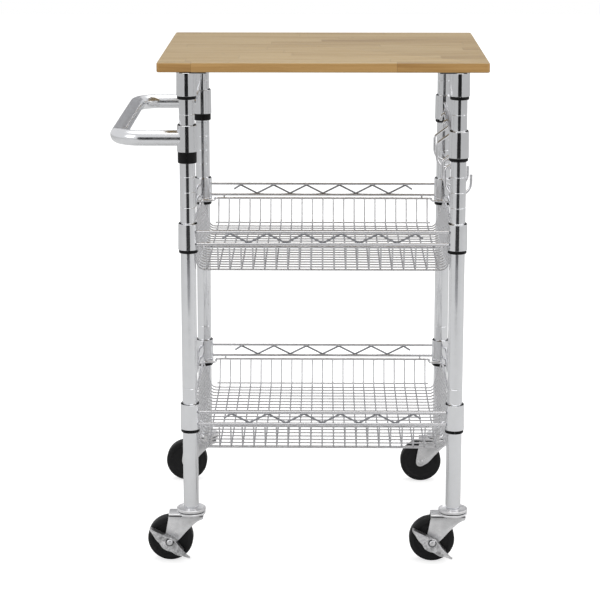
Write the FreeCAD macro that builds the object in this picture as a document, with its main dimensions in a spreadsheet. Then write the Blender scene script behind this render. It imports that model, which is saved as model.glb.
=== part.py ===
import FreeCAD, Part
import math
import os
import re

import Sketcher
from FreeCAD import Placement, Rotation, Vector

# Rolling kitchen cart: a wooden worktop on four grooved tube posts, two welded
# wire baskets and a side hook rack clamped on with tapered sleeves, a push
# handle and four swivel casters, the front two with brake levers.
# Millimetres. +X is the cart's right, +Y its back, +Z up. The origin is on the
# floor, under the middle of the whole object's box.

SIZES = {
    # worktop
    "cart_height": 840.0,          # floor to the top of the worktop
    "top_length": 533.0,
    "top_width": 457.0,
    "top_thick": 15.5,
    "top_corner": 5.0,             # radius of the four upright corners
    "top_edge": 1.8,               # rounding of the long edges
    # posts
    "post_span_x": 439.0,          # post centre to post centre
    "post_span_y": 427.0,
    "post_dia": 25.4,
    "post_wall": 1.2,
    "foot_gap": 0.6,               # upper race to the lower end of a post
    "post_play": 0.3,              # gap between a post and the socket's plate
    "groove_pitch": 25.4,
    "groove_width": 1.8,
    "groove_depth": 0.6,
    "groove_first": 157.0,         # lower end of the post to its first groove
    "groove_low_count": 3,
    "groove_high_count": 11,
    # tapered collars and their split sleeves
    "collar_height": 43.0,
    "collar_taper": 1.0,           # how much smaller the upper end is
    "collar_wall": 1.0,
    "sleeve_wall": 2.7,            # at the lower end of its collar
    "sleeve_play": 0.05,           # between sleeve and post, and sleeve and collar
    "sleeve_bead": 0.4,            # how far the sleeve's bead enters a groove
    "sleeve_slit": 5.0,            # degrees open between the two halves
    "sleeve_drop": 5.5,            # what shows below a collar
    "sleeve_ear": 1.8,             # height of the small tabs above a collar
    "bead_drop": 23.5,             # top of a collar to the groove it locks in
    # worktop sockets
    "socket_height": 38.7,
    "socket_bead": 21.0,           # lower end of a socket to the groove it locks in
    "flange_in": 35.0,             # how far the plate reaches in from the post centre
    "flange_out": 13.5,
    "flange_thick": 2.5,
    "screw_dia": 4.0,
    "screw_reach": 26.0,           # post centre to the screws, along each side
    "screw_length": 11.0,
    "screw_head": 7.5,
    # baskets
    "rail_dia": 5.0,
    "rail_out": 9.0,               # rails stand this far outside the post centres
    "rail_drop": 12.8,             # top of a collar to the upper rail's centre
    "truss_height": 20.3,          # upper rail's centre to lower rail's centre
    "rim_drop": 5.6,               # lower rail's centre to the rim's centre
    "rim_dia": 4.0,
    "rim_out": 2.5,                # the rim stands this far outside the post centres
    "rim_notch": 21.5,             # post centre to the rim where it passes a post
    "rim_bend": 6.0,
    "wall_height": 43.0,           # rim's centre to the floor wires
    "wall_slope": 15.0,            # how far a wall leans out over its height
    "mesh_wire": 2.4,
    "mesh_bend": 11.0,
    "mesh_edge_x": 29.0,           # post centre to the outermost cross wire
    "mesh_edge_y": 32.525,         # post centre to the outermost long wire
    "cross_count": 21,             # wires that run front to back
    "long_count": 20,              # wires that run left to right and turn up
    "tie_wire": 3.2,               # short links between the rim and the lower rails
    "truss_wire": 3.2,
    "truss_gap": 34.0,             # end of a collar's wall to the end of a truss
    "truss_tail": 12.0,
    "truss_bend": 4.0,
    # handle
    "handle_dia": 25.4,
    "handle_wall": 1.5,
    "handle_reach": 128.0,         # post centre to the outside of the grip bar
    "handle_bend": 42.0,
    "handle_rise": 6,              # pitches above the upper basket's groove
    "handle_lift": 9.3,            # how far its collars sit above their usual place
    "handle_drop_front": 18.5,
    "handle_drop_back": 12.0,
    # hook rack
    "rack_rise": 6,                # pitches above the upper basket's groove
    "hook_wire": 4.5,
    "hook_gap": 0.4,               # between a hook's eye and the rail it hangs on
    "hook_eye": 8.0,               # centre-line radius of the eye
    "hook_eye_drop": 8.0,          # rail's centre to the cut end of the eye
    "hook_shank": 18.8,            # lower rail to the shank, sideways
    "hook_prong": 23.6,            # lower rail to the prong, sideways
    "hook_depth": 80.0,            # lower rail's centre to the bottom of the bend
    "hook_mouth": 34.5,            # height of the prong's tip above the bend's bottom
    "hook_end_gap": 9.0,           # end of the rack's truss to the two end hooks
    # casters
    "wheel_dia": 76.0,
    "wheel_width": 23.0,
    "wheel_bore": 10.0,
    "caster_trail": 35.0,
    "axle_dia": 8.0,
    "axle_play": 0.05,             # running clearance of the bush on the axle
    "wheel_side": 1.5,             # between the wheel and each leg of its fork
    "leg_thick": 2.2,
    "leg_end": 8.7,                # radius of a leg's lower end
    "crown_dia": 48.0,
    "wheel_clear": 3.3,            # top of the wheel to the underside of the crown
    "crown_thick": 4.3,
    "race_gap": 0.8,               # between the crown and the upper race
    "race_dia": 48.6,
    "race_thick": 2.0,
    "race_rim": 6.0,               # height of the race's turned-up rim
    "stem_dia": 10.0,
    "stem_play": 0.08,             # running clearance of the crown on the king pin
    "stem_length": 24.0,           # what stands inside the post
    "ball_dia": 3.0,
    "ball_circle": 17.0,
    "ball_count": 16,
    "lever_thick": 2.0,
    "lever_gap": 0.4,
    "lever_deep": 12.0,            # depth of the lever's folded edges
    "lever_lean": 35.0,            # degrees, how far the lever slopes at rest
}

# sizes that follow from the ones above
TIED = {
    "collar_dia": "post_dia + 2 * (sleeve_wall + 2 * sleeve_play + collar_wall)",
    "leg_gap": "wheel_width + 2 * wheel_side",
    "crown_top": "wheel_dia + wheel_clear + crown_thick",
    "post_foot": "crown_top + race_gap + race_rim + foot_gap",
    "cross_pitch": "(post_span_x - 2 * mesh_edge_x) / (cross_count - 1)",
    "long_pitch": "(post_span_y - 2 * mesh_edge_y) / (long_count - 1)",
    # five zigzags and two tails fit between the collars on the shorter side
    "truss_room": "min(post_span_x; post_span_y) - collar_dia - 2 * truss_gap",
    "truss_pitch": "(truss_room - 2 * truss_tail) / 5",
    # the middle hooks hang under a crest of the truss, the end ones clear of it
    "hook_inner": "1.5 * truss_pitch",
    "hook_outer": "2.5 * truss_pitch + truss_tail + hook_end_gap",
}

doc = FreeCAD.newDocument("kitchen_island_cart")
sheet = doc.addObject("Spreadsheet::Sheet", "sizes")
for row, (name, number) in enumerate(SIZES.items(), start=1):
    sheet.set(f"A{row}", str(number))
    sheet.setAlias(f"A{row}", name)
for row, (name, formula) in enumerate(TIED.items(), start=len(SIZES) + 1):
    sheet.set(f"A{row}", f"={formula}")
    sheet.setAlias(f"A{row}", name)
doc.recompute()

nodes = []


# ---------------------------------------------------------------- helpers

def bind(text):
    """Turn the size names in a formula into references to the sheet."""
    return re.sub(r"[a-z][a-z_]+", lambda word: refer(word.group()), text)


def refer(word):
    return f"<<sizes>>.{word}" if word in SIZES or word in TIED else word


def measure(text):
    """The number that a formula of size names gives now."""
    return float(sheet.evalExpression(bind(text)))


def drive(thing, prop, text):
    thing.setExpression(prop, bind(text))


def origin_part(body, role):
    return next(f for f in body.Origin.OriginFeatures if f.Role == role)


def make_body(label, is_node=True):
    body = doc.addObject("PartDesign::Body", label)
    body.Label = label
    if is_node:
        nodes.append(body)
    return body


def place(thing, x="0", y="0", z="0", axis=(0, 0, 1), degrees=0.0):
    """Turn a piece about an axis, then stand it at a place given by formulas."""
    thing.Placement = Placement(Vector(), Rotation(Vector(*axis), degrees))
    for direction, text in zip("xyz", (x, y, z)):
        drive(thing, f"Placement.Base.{direction}", text)
    return thing


def sketch_on(body, role):
    sketch = body.newObject("Sketcher::SketchObject", f"{body.Name}_sketch")
    sketch.AttachmentSupport = [(origin_part(body, role), "")]
    sketch.MapMode = "FlatFace"
    return sketch


def body_plane_sketch(body, height):
    """A level sketch at a height above the body's own origin."""
    sketch = sketch_on(body, "XY_Plane")
    drive(sketch, "AttachmentOffset.Base.z", height)
    return sketch


def constrain(sketch, *parts, text):
    index = sketch.addConstraint(Sketcher.Constraint(*parts, measure(text)))
    drive(sketch, f"Constraints[{index}]", text)


def pin_point(sketch, shape, end, point):
    """Hold one end of a sketch line, or a point, at a place given by formulas."""
    for kind, text in zip(("DistanceX", "DistanceY"), point):
        constrain(sketch, kind, -1, 1, shape, end, text=text)


def at(point):
    return Vector(measure(point[0]), measure(point[1]), 0)


def draw_polygon(sketch, corners):
    """A closed outline through corners that are given by formulas."""
    spots = [at(corner) for corner in corners]
    lines = [sketch.addGeometry(Part.LineSegment(a, b))
             for a, b in zip(spots, spots[1:] + spots[:1])]
    for index, (line, corner) in enumerate(zip(lines, corners)):
        sketch.addConstraint(Sketcher.Constraint("Coincident", lines[index - 1], 2, line, 1))
        pin_point(sketch, line, 1, corner)


def draw_circle(sketch, radius, x="0", y="0"):
    circle = sketch.addGeometry(Part.Circle(at((x, y)), Vector(0, 0, 1), measure(radius)))
    pin_point(sketch, circle, 3, (x, y))
    constrain(sketch, "Radius", circle, text=radius)


def draw_path(sketch, corners, radius, closed=False):
    """Straight runs through the corners, each corner rounded with one tangent arc.

    The radius is one formula for every corner, or a list with one for each."""
    spots = [at(corner) for corner in corners]
    count = len(spots)
    turns = range(count) if closed else range(1, count - 1)
    radii = dict(zip(turns, radius if isinstance(radius, list) else [radius] * len(turns)))
    arcs = {}
    for i in turns:
        back = (spots[i - 1] - spots[i]).normalize()
        ahead = (spots[(i + 1) % count] - spots[i]).normalize()
        half = back.getAngle(ahead) / 2
        bisector = (back + ahead).normalize()
        bend = measure(radii[i])
        reach = bend / math.tan(half)
        crest = spots[i] + bisector * (bend / math.sin(half) - bend)
        arcs[i] = (spots[i] + back * reach, crest, spots[i] + ahead * reach)
    runs = range(count) if closed else range(count - 1)
    lines = {}
    for i in runs:
        start = arcs[i][2] if i in arcs else spots[i]
        after = (i + 1) % count
        end = arcs[after][0] if after in arcs else spots[after]
        lines[i] = sketch.addGeometry(Part.LineSegment(start, end))
    if not closed:
        pin_point(sketch, lines[0], 1, corners[0])
        pin_point(sketch, lines[count - 2], 2, corners[-1])
    for i, arc in arcs.items():
        bend = sketch.addGeometry(Part.Arc(*arc))
        first = 1 if sketch.getPoint(bend, 1).distanceToPoint(arc[0]) < 1e-6 else 2
        corner = sketch.addGeometry(Part.Point(spots[i]), True)
        pin_point(sketch, corner, 1, corners[i])
        before = lines[(i - 1) % count]
        sketch.addConstraint([
            Sketcher.Constraint("Tangent", before, 2, bend, first),
            Sketcher.Constraint("Tangent", bend, 3 - first, lines[i], 1),
            Sketcher.Constraint("PointOnObject", corner, 1, before),
            Sketcher.Constraint("PointOnObject", corner, 1, lines[i]),
        ])
        constrain(sketch, "Radius", bend, text=radii[i])


def extrude(body, sketch, length, both_ways=False, back=False):
    pad = body.newObject("PartDesign::Pad", f"{body.Name}_pad")
    pad.Profile = sketch
    drive(pad, "Length", length)
    pad.SideType = "Symmetric" if both_ways else "One side"
    pad.Reversed = back
    return pad


def cut(body, sketch, length, both_ways=False, back=False):
    """Cut a pocket, and make sure that it took material away."""
    doc.recompute()
    before = body.Shape.Volume
    pocket = body.newObject("PartDesign::Pocket", f"{body.Name}_cut")
    pocket.Profile = sketch
    drive(pocket, "Length", length)
    pocket.SideType = "Symmetric" if both_ways else "One side"
    pocket.Reversed = back
    doc.recompute()
    if body.Shape.Volume >= before:
        raise RuntimeError(f"{pocket.Label} cuts nothing")
    return pocket


def revolve(body, sketch, degrees="360", groove=False):
    kind = "PartDesign::Groove" if groove else "PartDesign::Revolution"
    turned = body.newObject(kind, f"{body.Name}_turned")
    turned.Profile = sketch
    turned.ReferenceAxis = (origin_part(body, "Z_Axis"), [""])
    turned.Midplane = True
    drive(turned, "Angle", degrees)
    return turned


def pipe_along(body, path, radius, bore=None):
    """Sweep a round bar, or a tube with a bore, along a path sketch."""
    doc.recompute()
    section = body.newObject("Sketcher::SketchObject", f"{body.Name}_section")
    section.AttachmentSupport = [(path, "Edge1")]
    section.MapMode = "NormalToEdge"
    draw_circle(section, radius)
    if bore:
        draw_circle(section, bore)
    pipe = body.newObject("PartDesign::AdditivePipe", f"{body.Name}_pipe")
    pipe.Profile = section
    pipe.Spine = (path, [f"Edge{i + 1}" for i in range(len(path.Shape.Edges))])
    return pipe


def repeat(body, feature, role, length, count):
    pattern = body.newObject("PartDesign::LinearPattern", f"{body.Name}_row")
    pattern.Originals = [feature]
    pattern.Direction = (origin_part(body, role), [""])
    drive(pattern, "Length", length)
    drive(pattern, "Occurrences", count)
    body.Tip = pattern
    return pattern


def repeat_round(body, features, count):
    pattern = body.newObject("PartDesign::PolarPattern", f"{body.Name}_ring")
    pattern.Originals = features
    pattern.Axis = (origin_part(body, "Z_Axis"), [""])
    pattern.Angle = 360
    drive(pattern, "Occurrences", count)
    body.Tip = pattern
    return pattern


def bar(x, y, z, length, radius, axis=(0, 0, 1), degrees=0.0):
    """A straight round wire that starts at a place given by formulas."""
    wire = doc.addObject("Part::Cylinder", "wire")
    drive(wire, "Radius", radius)
    drive(wire, "Height", length)
    return place(wire, x, y, z, axis, degrees)


def copy_of(master, x="0", y="0", z="0", axis=(0, 0, 1), degrees=0.0):
    link = doc.addObject("App::Link", f"{master.Name}_copy")
    link.LinkedObject = master
    return place(link, x, y, z, axis, degrees)


def group(label, pieces):
    """One node that holds several separate, like solids."""
    compound = doc.addObject("Part::Compound", label)
    compound.Label = label
    compound.Links = pieces
    nodes.append(compound)
    return compound


# ------------------------------------------------------- places in the frame

# The handle stands out on the left and the brake levers at the front, so the
# cart's own middle lies off the origin by half of what they add.
FRONT_OUT = "(leg_gap / 2 + leg_thick + lever_deep + lever_thick + 2 * lever_gap + 2.5)"
BACK_OUT = "(race_dia / 2)"
MID_X = "((post_span_x / 2 + handle_reach - top_length / 2) / 2)"
MID_Y = f"(({FRONT_OUT} - {BACK_OUT}) / 2)"

LEFT = f"({MID_X} - post_span_x / 2)"
RIGHT = f"({MID_X} + post_span_x / 2)"
FRONT = f"({MID_Y} - post_span_y / 2)"
BACK = f"({MID_Y} + post_span_y / 2)"

CORNERS = {
    "front_left": (LEFT, FRONT),
    "front_right": (RIGHT, FRONT),
    "back_left": (LEFT, BACK),
    "back_right": (RIGHT, BACK),
}
# quarter turn, in degrees, that points a corner's parts at the middle of the cart
TURNS = {"front_left": 0.0, "front_right": 90.0, "back_left": -90.0, "back_right": 180.0}

TOP_UNDER = "(cart_height - top_thick)"
LOWER_GROOVE = "(post_foot + groove_first)"
SOCKET_FOOT = f"({TOP_UNDER} - socket_height)"
TOP_GROOVE = f"({SOCKET_FOOT} + socket_bead)"
UPPER_GROOVE = f"({TOP_GROOVE} - (groove_high_count - 1) * groove_pitch)"
LOWER_TOP = f"({LOWER_GROOVE} + bead_drop)"
UPPER_TOP = f"({UPPER_GROOVE} + bead_drop)"
RACK_GROOVE = f"({UPPER_GROOVE} + rack_rise * groove_pitch)"
RACK_TOP = f"({RACK_GROOVE} + bead_drop)"
HANDLE_GROOVE = f"({UPPER_GROOVE} + handle_rise * groove_pitch)"
HANDLE_TOP = f"({HANDLE_GROOVE} + bead_drop + handle_lift)"


# ----------------------------------------------------------------- worktop

def screw_spots(corner, x, y):
    """Three screw places round one socket, on the side that faces the cart's middle."""
    right = 1 if corner.endswith("left") else -1
    back = 1 if corner.startswith("front") else -1
    return [(f"{x} + {right * a} * screw_reach", f"{y} + {back * b} * screw_reach")
            for a, b in ((1, 0), (1, 1), (0, 1))]


def make_worktop():
    board = make_body("worktop")
    outline = sketch_on(board, "XY_Plane")
    half_x = "top_length / 2"
    half_y = "top_width / 2"
    draw_polygon(outline, [(f"-{half_x}", f"-{half_y}"), (half_x, f"-{half_y}"),
                           (half_x, half_y), (f"-{half_x}", half_y)])
    slab = extrude(board, outline, "top_thick")
    doc.recompute()
    uprights = [f"Edge{i + 1}" for i, edge in enumerate(slab.Shape.Edges)
                if abs(edge.tangentAt(edge.FirstParameter).z) > 0.9]
    corners = board.newObject("PartDesign::Fillet", "worktop_corners")
    corners.Base = (slab, uprights)
    drive(corners, "Radius", "top_corner")
    doc.recompute()
    level = [f"Edge{i + 1}" for i, edge in enumerate(corners.Shape.Edges)
             if abs(edge.tangentAt(edge.FirstParameter).z) < 0.1]
    edges = board.newObject("PartDesign::Fillet", "worktop_edges")
    edges.Base = (corners, level)
    drive(edges, "Radius", "top_edge")
    pilots = sketch_on(board, "XY_Plane")
    for corner in CORNERS:
        x_side = -1 if corner.endswith("left") else 1
        y_side = -1 if corner.startswith("front") else 1
        for x, y in screw_spots(corner, f"{x_side} * post_span_x / 2", f"{y_side} * post_span_y / 2"):
            draw_circle(pilots, "screw_dia / 2", x, y)
    cut(board, pilots, "screw_length", back=True)
    place(board, MID_X, MID_Y, TOP_UNDER)


def make_screws():
    screw = make_body("screw", is_node=False)
    section = sketch_on(screw, "XZ_Plane")
    draw_polygon(section, [("0", "-flange_thick - 2.2"), ("screw_head / 2 - 1", "-flange_thick - 2.2"),
                           ("screw_head / 2", "-flange_thick - 1"), ("screw_head / 2", "-flange_thick"),
                           ("screw_dia / 2", "-flange_thick"), ("screw_dia / 2", "screw_length - 2.5"),
                           ("0", "screw_length - 0.3")])
    revolve(screw, section)
    copies = [copy_of(screw, x, y, TOP_UNDER)
              for corner, post in CORNERS.items() for x, y in screw_spots(corner, *post)]
    group("worktop_screws", copies)


# ------------------------------------------------- collars, sockets, sleeves

OUTER = "(collar_dia / 2 - collar_taper / 2 * ({z}) / collar_height)"
INNER = "(collar_dia / 2 - collar_wall - collar_taper / 2 * ({z}) / collar_height)"


def make_collar():
    """A thin tapered tube, standing on its wide end."""
    collar = make_body("collar", is_node=False)
    section = sketch_on(collar, "XZ_Plane")
    draw_polygon(section, [(INNER.format(z="0"), "0"), (OUTER.format(z="0"), "0"),
                           (OUTER.format(z="collar_height"), "collar_height"),
                           (INNER.format(z="collar_height"), "collar_height")])
    revolve(collar, section)
    return collar


def make_sockets():
    """Tapered sockets under a plate that reaches in from the corner and takes three screws."""
    socket = make_body("socket", is_node=False)
    section = sketch_on(socket, "XZ_Plane")
    plate = "(socket_height - flange_thick)"
    draw_polygon(section, [(INNER.format(z="0"), "0"), (OUTER.format(z="0"), "0"),
                           (OUTER.format(z=plate), f"{plate} + 0.5"),
                           ("0", f"{plate} + 0.5"), ("0", plate), (INNER.format(z=plate), plate)])
    revolve(socket, section)
    doc.recompute()
    outline = body_plane_sketch(socket, plate)
    draw_polygon(outline, [("-flange_out", "-flange_out"), ("flange_in", "-flange_out"),
                           ("flange_in", "flange_in - 8"), ("flange_in - 8", "flange_in"),
                           ("-flange_out", "flange_in")])
    extrude(socket, outline, "flange_thick")
    holes = sketch_on(socket, "XY_Plane")
    for x, y in screw_spots("front_left", "0", "0"):
        draw_circle(holes, "screw_dia / 2", x, y)
    cut(socket, holes, "socket_height + 1", back=True)
    group("worktop_sockets", [copy_of(socket, x, y, SOCKET_FOOT, degrees=TURNS[corner])
                              for corner, (x, y) in CORNERS.items()])


def make_sleeve(name, above, below, bead, ears=True):
    """Two half sleeves round a post: tapered inside the collar, straight below it."""
    sleeve = make_body(name, is_node=False)
    section = sketch_on(sleeve, "XZ_Plane")
    bore = "(post_dia / 2 + sleeve_play)"
    lock = "(post_dia / 2 - sleeve_bead)"
    skirt = f"({INNER.format(z='0')} - sleeve_play)"
    draw_polygon(section, [(bore, f"-{below}"), (f"{skirt} - 0.6", f"-{below}"),
                           (skirt, f"-{below} + 1.2"), (skirt, "0"),
                           (f"{INNER.format(z=above)} - sleeve_play", above), (bore, above),
                           (bore, f"{bead} + groove_width / 2 - 0.1"),
                           (lock, f"{bead} + groove_width / 6"),
                           (lock, f"{bead} - groove_width / 6"),
                           (bore, f"{bead} - groove_width / 2 + 0.1")])
    half = revolve(sleeve, section, "180 - sleeve_slit")
    features = [half]
    if ears:
        tab = sketch_on(sleeve, "XZ_Plane")
        rim = f"({INNER.format(z=above)} - sleeve_play)"
        draw_polygon(tab, [(bore, f"{above} - 1"), (rim, f"{above} - 1"),
                           (rim, f"{above} + sleeve_ear"), (bore, f"{above} + sleeve_ear")])
        features.append(revolve(sleeve, tab, "50"))
    repeat_round(sleeve, features, "2")
    return sleeve


def stand_on_posts(label, master, foot, corners=CORNERS):
    group(label, [copy_of(master, *CORNERS[corner], foot) for corner in corners])


# ------------------------------------------------------------------- posts

def make_posts():
    length = f"({TOP_UNDER} - flange_thick - post_play - post_foot)"
    for corner, (x, y) in CORNERS.items():
        post = make_body(f"post_{corner}")
        ring = sketch_on(post, "XY_Plane")
        draw_circle(ring, "post_dia / 2")
        draw_circle(ring, "post_dia / 2 - post_wall")
        extrude(post, ring, length)
        runs = (("groove_first", "groove_low_count"),
                (f"({UPPER_GROOVE} - post_foot)", "groove_high_count"))
        for middle, count in runs:
            notch = sketch_on(post, "XZ_Plane")
            draw_polygon(notch, [("post_dia / 2 + 1", f"{middle} - groove_width / 2"),
                                 ("post_dia / 2 + 1", f"{middle} + groove_width / 2"),
                                 ("post_dia / 2", f"{middle} + groove_width / 2"),
                                 ("post_dia / 2 - groove_depth", f"{middle} + groove_width / 4"),
                                 ("post_dia / 2 - groove_depth", f"{middle} - groove_width / 4"),
                                 ("post_dia / 2", f"{middle} - groove_width / 2")])
            groove = revolve(post, notch, groove=True)
            repeat(post, groove, "Z_Axis", f"({count} - 1) * groove_pitch", count)
        place(post, x, y, "post_foot")


def make_inserts():
    insert = make_body("insert", is_node=False)
    ring = sketch_on(insert, "XY_Plane")
    draw_circle(ring, "post_dia / 2 - post_wall")
    draw_circle(ring, "stem_dia / 2")
    extrude(insert, ring, "stem_length")
    stand_on_posts("post_inserts", insert, "post_foot")


# ----------------------------------------------------------------- baskets

RAIL_HALF = "(rail_dia / 2)"
# post centre to the end of a rail, which is welded into the collar's wall
WALL_IN = "(collar_dia / 2 - collar_wall + 0.05)"
SIDE_GRIP = f"(sqrt({WALL_IN} ^ 2 - (rail_out - {RAIL_HALF}) ^ 2))"
# from the rim's centre line in to the centre line of a mesh wire welded to it
RIM_TO_MESH = "(rim_dia / 2 + mesh_wire / 2 - 0.3)"
# middle of the cart to the rim's centre line
RIM_X = "(post_span_x / 2 + rim_out)"
RIM_Y = "(post_span_y / 2 + rim_out)"
# how far a wall's bend starts before its corner, in bend radii
BEND_SETBACK = "(sqrt(1 + (wall_slope / wall_height) ^ 2) - wall_slope / wall_height)"


def rail_along_x(y, z, grip=SIDE_GRIP):
    return bar(f"{LEFT} + {grip}", y, z, f"post_span_x - 2 * {grip}", RAIL_HALF, (0, 1, 0), 90)


def rail_along_y(x, z, grip=SIDE_GRIP):
    return bar(x, f"{FRONT} + {grip}", z, f"post_span_y - 2 * {grip}", RAIL_HALF, (1, 0, 0), -90)


def make_truss():
    """One zigzag wire with six crests, lying along X in the XZ plane, centred on its lower rail."""
    truss = make_body("truss", is_node=False)
    path = sketch_on(truss, "XZ_Plane")
    crest = f"(truss_height - {RAIL_HALF})"
    valley = RAIL_HALF
    corners = [("-2.5 * truss_pitch - truss_tail", "truss_height / 2")]
    for step in range(11):
        height = crest if step % 2 == 0 else valley
        corners.append((f"({step} - 5) / 2 * truss_pitch", height))
    corners.append(("2.5 * truss_pitch + truss_tail", "truss_height / 2"))
    draw_path(path, corners, "truss_bend")
    pipe_along(truss, path, "truss_wire / 2")
    return truss


def make_rim():
    """The tray's rim: one closed wire that steps in to pass inside each post."""
    rim = make_body("rim", is_node=False)
    path = sketch_on(rim, "XY_Plane")
    outer_x = RIM_X
    outer_y = RIM_Y
    inner_x = "(post_span_x / 2 - rim_notch)"
    inner_y = "(post_span_y / 2 - rim_notch)"
    quarter = [(outer_x, inner_y), (inner_x, inner_y), (inner_x, outer_y)]
    corners = [(x, y) for x, y in quarter]
    corners += [(f"-{x}", y) for x, y in reversed(quarter)]
    corners += [(f"-{x}", f"-{y}") for x, y in quarter]
    corners += [(x, f"-{y}") for x, y in reversed(quarter)]
    draw_path(path, corners, "rim_bend", closed=True)
    pipe_along(rim, path, "rim_dia / 2")
    return rim


def make_mesh_wires(name, role, half_rim, depth, kind):
    """A row of wires: each runs over the floor and turns up both walls to the rim."""
    mesh = make_body(name, is_node=False)
    path = sketch_on(mesh, role)
    top = f"({half_rim} - {RIM_TO_MESH})"
    floor = f"({top} - wall_slope)"
    draw_path(path, [(f"-{top}", "0"), (f"-{floor}", f"-{depth}"),
                     (floor, f"-{depth}"), (top, "0")], "mesh_bend")
    wire = pipe_along(mesh, path, "mesh_wire / 2")
    along = "Y_Axis" if role == "XZ_Plane" else "X_Axis"
    repeat(mesh, wire, along, f"({kind}_count - 1) * {kind}_pitch", f"{kind}_count")
    return mesh


def make_baskets(collar):
    sleeve = make_sleeve("basket_sleeve", "(collar_height - 0.3)", "sleeve_drop",
                         "(collar_height - bead_drop)")
    truss = make_truss()
    rim = make_rim()
    # the long wires lie under the cross wires, welded where they cross
    under = "(wall_height + mesh_wire - 0.3)"
    cross = make_mesh_wires("cross_wire", "YZ_Plane", RIM_Y, "wall_height", "cross")
    across = make_mesh_wires("long_wire", "XZ_Plane", RIM_X, under, "long")
    lane_front = f"({FRONT} - rail_out)"
    lane_back = f"({BACK} + rail_out)"
    lane_left = f"({LEFT} - rail_out)"
    lane_right = f"({RIGHT} + rail_out)"
    for level, top in (("upper", UPPER_TOP), ("lower", LOWER_TOP)):
        foot = f"({top} - collar_height)"
        high = f"({top} - rail_drop)"
        low = f"({high} - truss_height)"
        rim_z = f"({low} - rim_drop)"
        stand_on_posts(f"{level}_collars", collar, foot)
        stand_on_posts(f"{level}_sleeves", sleeve, foot)
        rails = [rail_along_x(y, z) for y in (lane_front, lane_back) for z in (high, low)]
        rails += [rail_along_y(x, z) for x in (lane_left, lane_right) for z in (high, low)]
        group(f"{level}_rails", rails)
        group(f"{level}_trusses", [
            copy_of(truss, MID_X, lane_front, low),
            copy_of(truss, MID_X, lane_back, low),
            copy_of(truss, lane_left, MID_Y, low, degrees=90.0),
            copy_of(truss, lane_right, MID_Y, low, degrees=90.0),
        ])
        group(f"{level}_rim", [copy_of(rim, MID_X, MID_Y, rim_z)])
        group(f"{level}_cross_wires", [
            copy_of(cross, f"{MID_X} - (cross_count - 1) / 2 * cross_pitch", MID_Y, rim_z)])
        # the outermost two lie straight in the bend of the walls: the posts stand
        # where their ends would turn up
        edge_half = f"({RIM_X} - {RIM_TO_MESH} - wall_slope - 0.7 * mesh_bend)"
        bend_start = f"({RIM_Y} - {RIM_TO_MESH} - wall_slope - mesh_bend * {BEND_SETBACK})"
        bend_out = "(mesh_bend + mesh_wire - 0.3)"
        edge_row = f"({bend_start} + {bend_out} * sin(40))"
        edge_z = f"({rim_z} - wall_height + mesh_bend - {bend_out} * cos(40))"
        edges = [bar(f"{MID_X} - {edge_half}", f"{MID_Y} + {side} * {edge_row}", edge_z,
                     f"2 * {edge_half}", "mesh_wire / 2", (0, 1, 0), 90)
                 for side in (-1, 1)]
        row = copy_of(across, MID_X, f"{MID_Y} - (long_count - 1) / 2 * long_pitch", rim_z)
        group(f"{level}_long_wires", [row] + edges)
        # short links that carry the rim under the lower rails, two on each side
        link_z = f"({low} - {RAIL_HALF} / 2 - (rim_drop - rim_dia / 2) / 2)"
        length = "(rail_out - rim_out + 2)"
        ties = []
        for side in (-1, 1):
            along_x = f"{MID_X} + {side} * (cross_count - 2) / 2 * cross_pitch"
            along_y = f"{MID_Y} + {side} * (long_count - 2) / 2 * long_pitch"
            ties += [
                bar(along_x, f"{FRONT} - rim_out + 1", link_z, length, "tie_wire / 2", (1, 0, 0), 90),
                bar(along_x, f"{BACK} + rim_out - 1", link_z, length, "tie_wire / 2", (1, 0, 0), -90),
                bar(f"{LEFT} - rim_out + 1", along_y, link_z, length, "tie_wire / 2", (0, 1, 0), -90),
                bar(f"{RIGHT} + rim_out - 1", along_y, link_z, length, "tie_wire / 2", (0, 1, 0), 90),
            ]
        group(f"{level}_ties", ties)


# ------------------------------------------------------- handle and hook rack

def make_handle(collar):
    foot = f"({HANDLE_TOP} - collar_height)"
    arm_z = f"({foot} + collar_height / 2)"
    tube = make_body("handle_tube")
    path = sketch_on(tube, "XY_Plane")
    bar_x = "(handle_reach - handle_dia / 2)"
    half = "(post_span_y / 2)"
    draw_path(path, [("0", f"-{half}"), (f"-{bar_x}", f"-{half}"),
                     (f"-{bar_x}", half), ("0", half)], "handle_bend")
    pipe_along(tube, path, "handle_dia / 2", "handle_dia / 2 - handle_wall")
    # both ends are cut to the round of the collars they are welded to
    mouths = sketch_on(tube, "XY_Plane")
    for side in ("-", ""):
        draw_circle(mouths, "collar_dia / 2 - collar_taper / 4 - collar_wall / 2", "0", f"{side}{half}")
    cut(tube, mouths, "2 * handle_dia", both_ways=True)
    place(tube, LEFT, MID_Y, arm_z)
    stand_on_posts("handle_collars", collar, foot, ("front_left", "back_left"))
    bead = f"({HANDLE_GROOVE} - {foot})"
    sleeves = [
        copy_of(make_sleeve("handle_sleeve_front", "(collar_height - 0.3)",
                            "handle_drop_front", bead), LEFT, FRONT, foot),
        copy_of(make_sleeve("handle_sleeve_back", "(collar_height - 0.3)",
                            "handle_drop_back", bead), LEFT, BACK, foot),
    ]
    group("handle_sleeves", sleeves)


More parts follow.
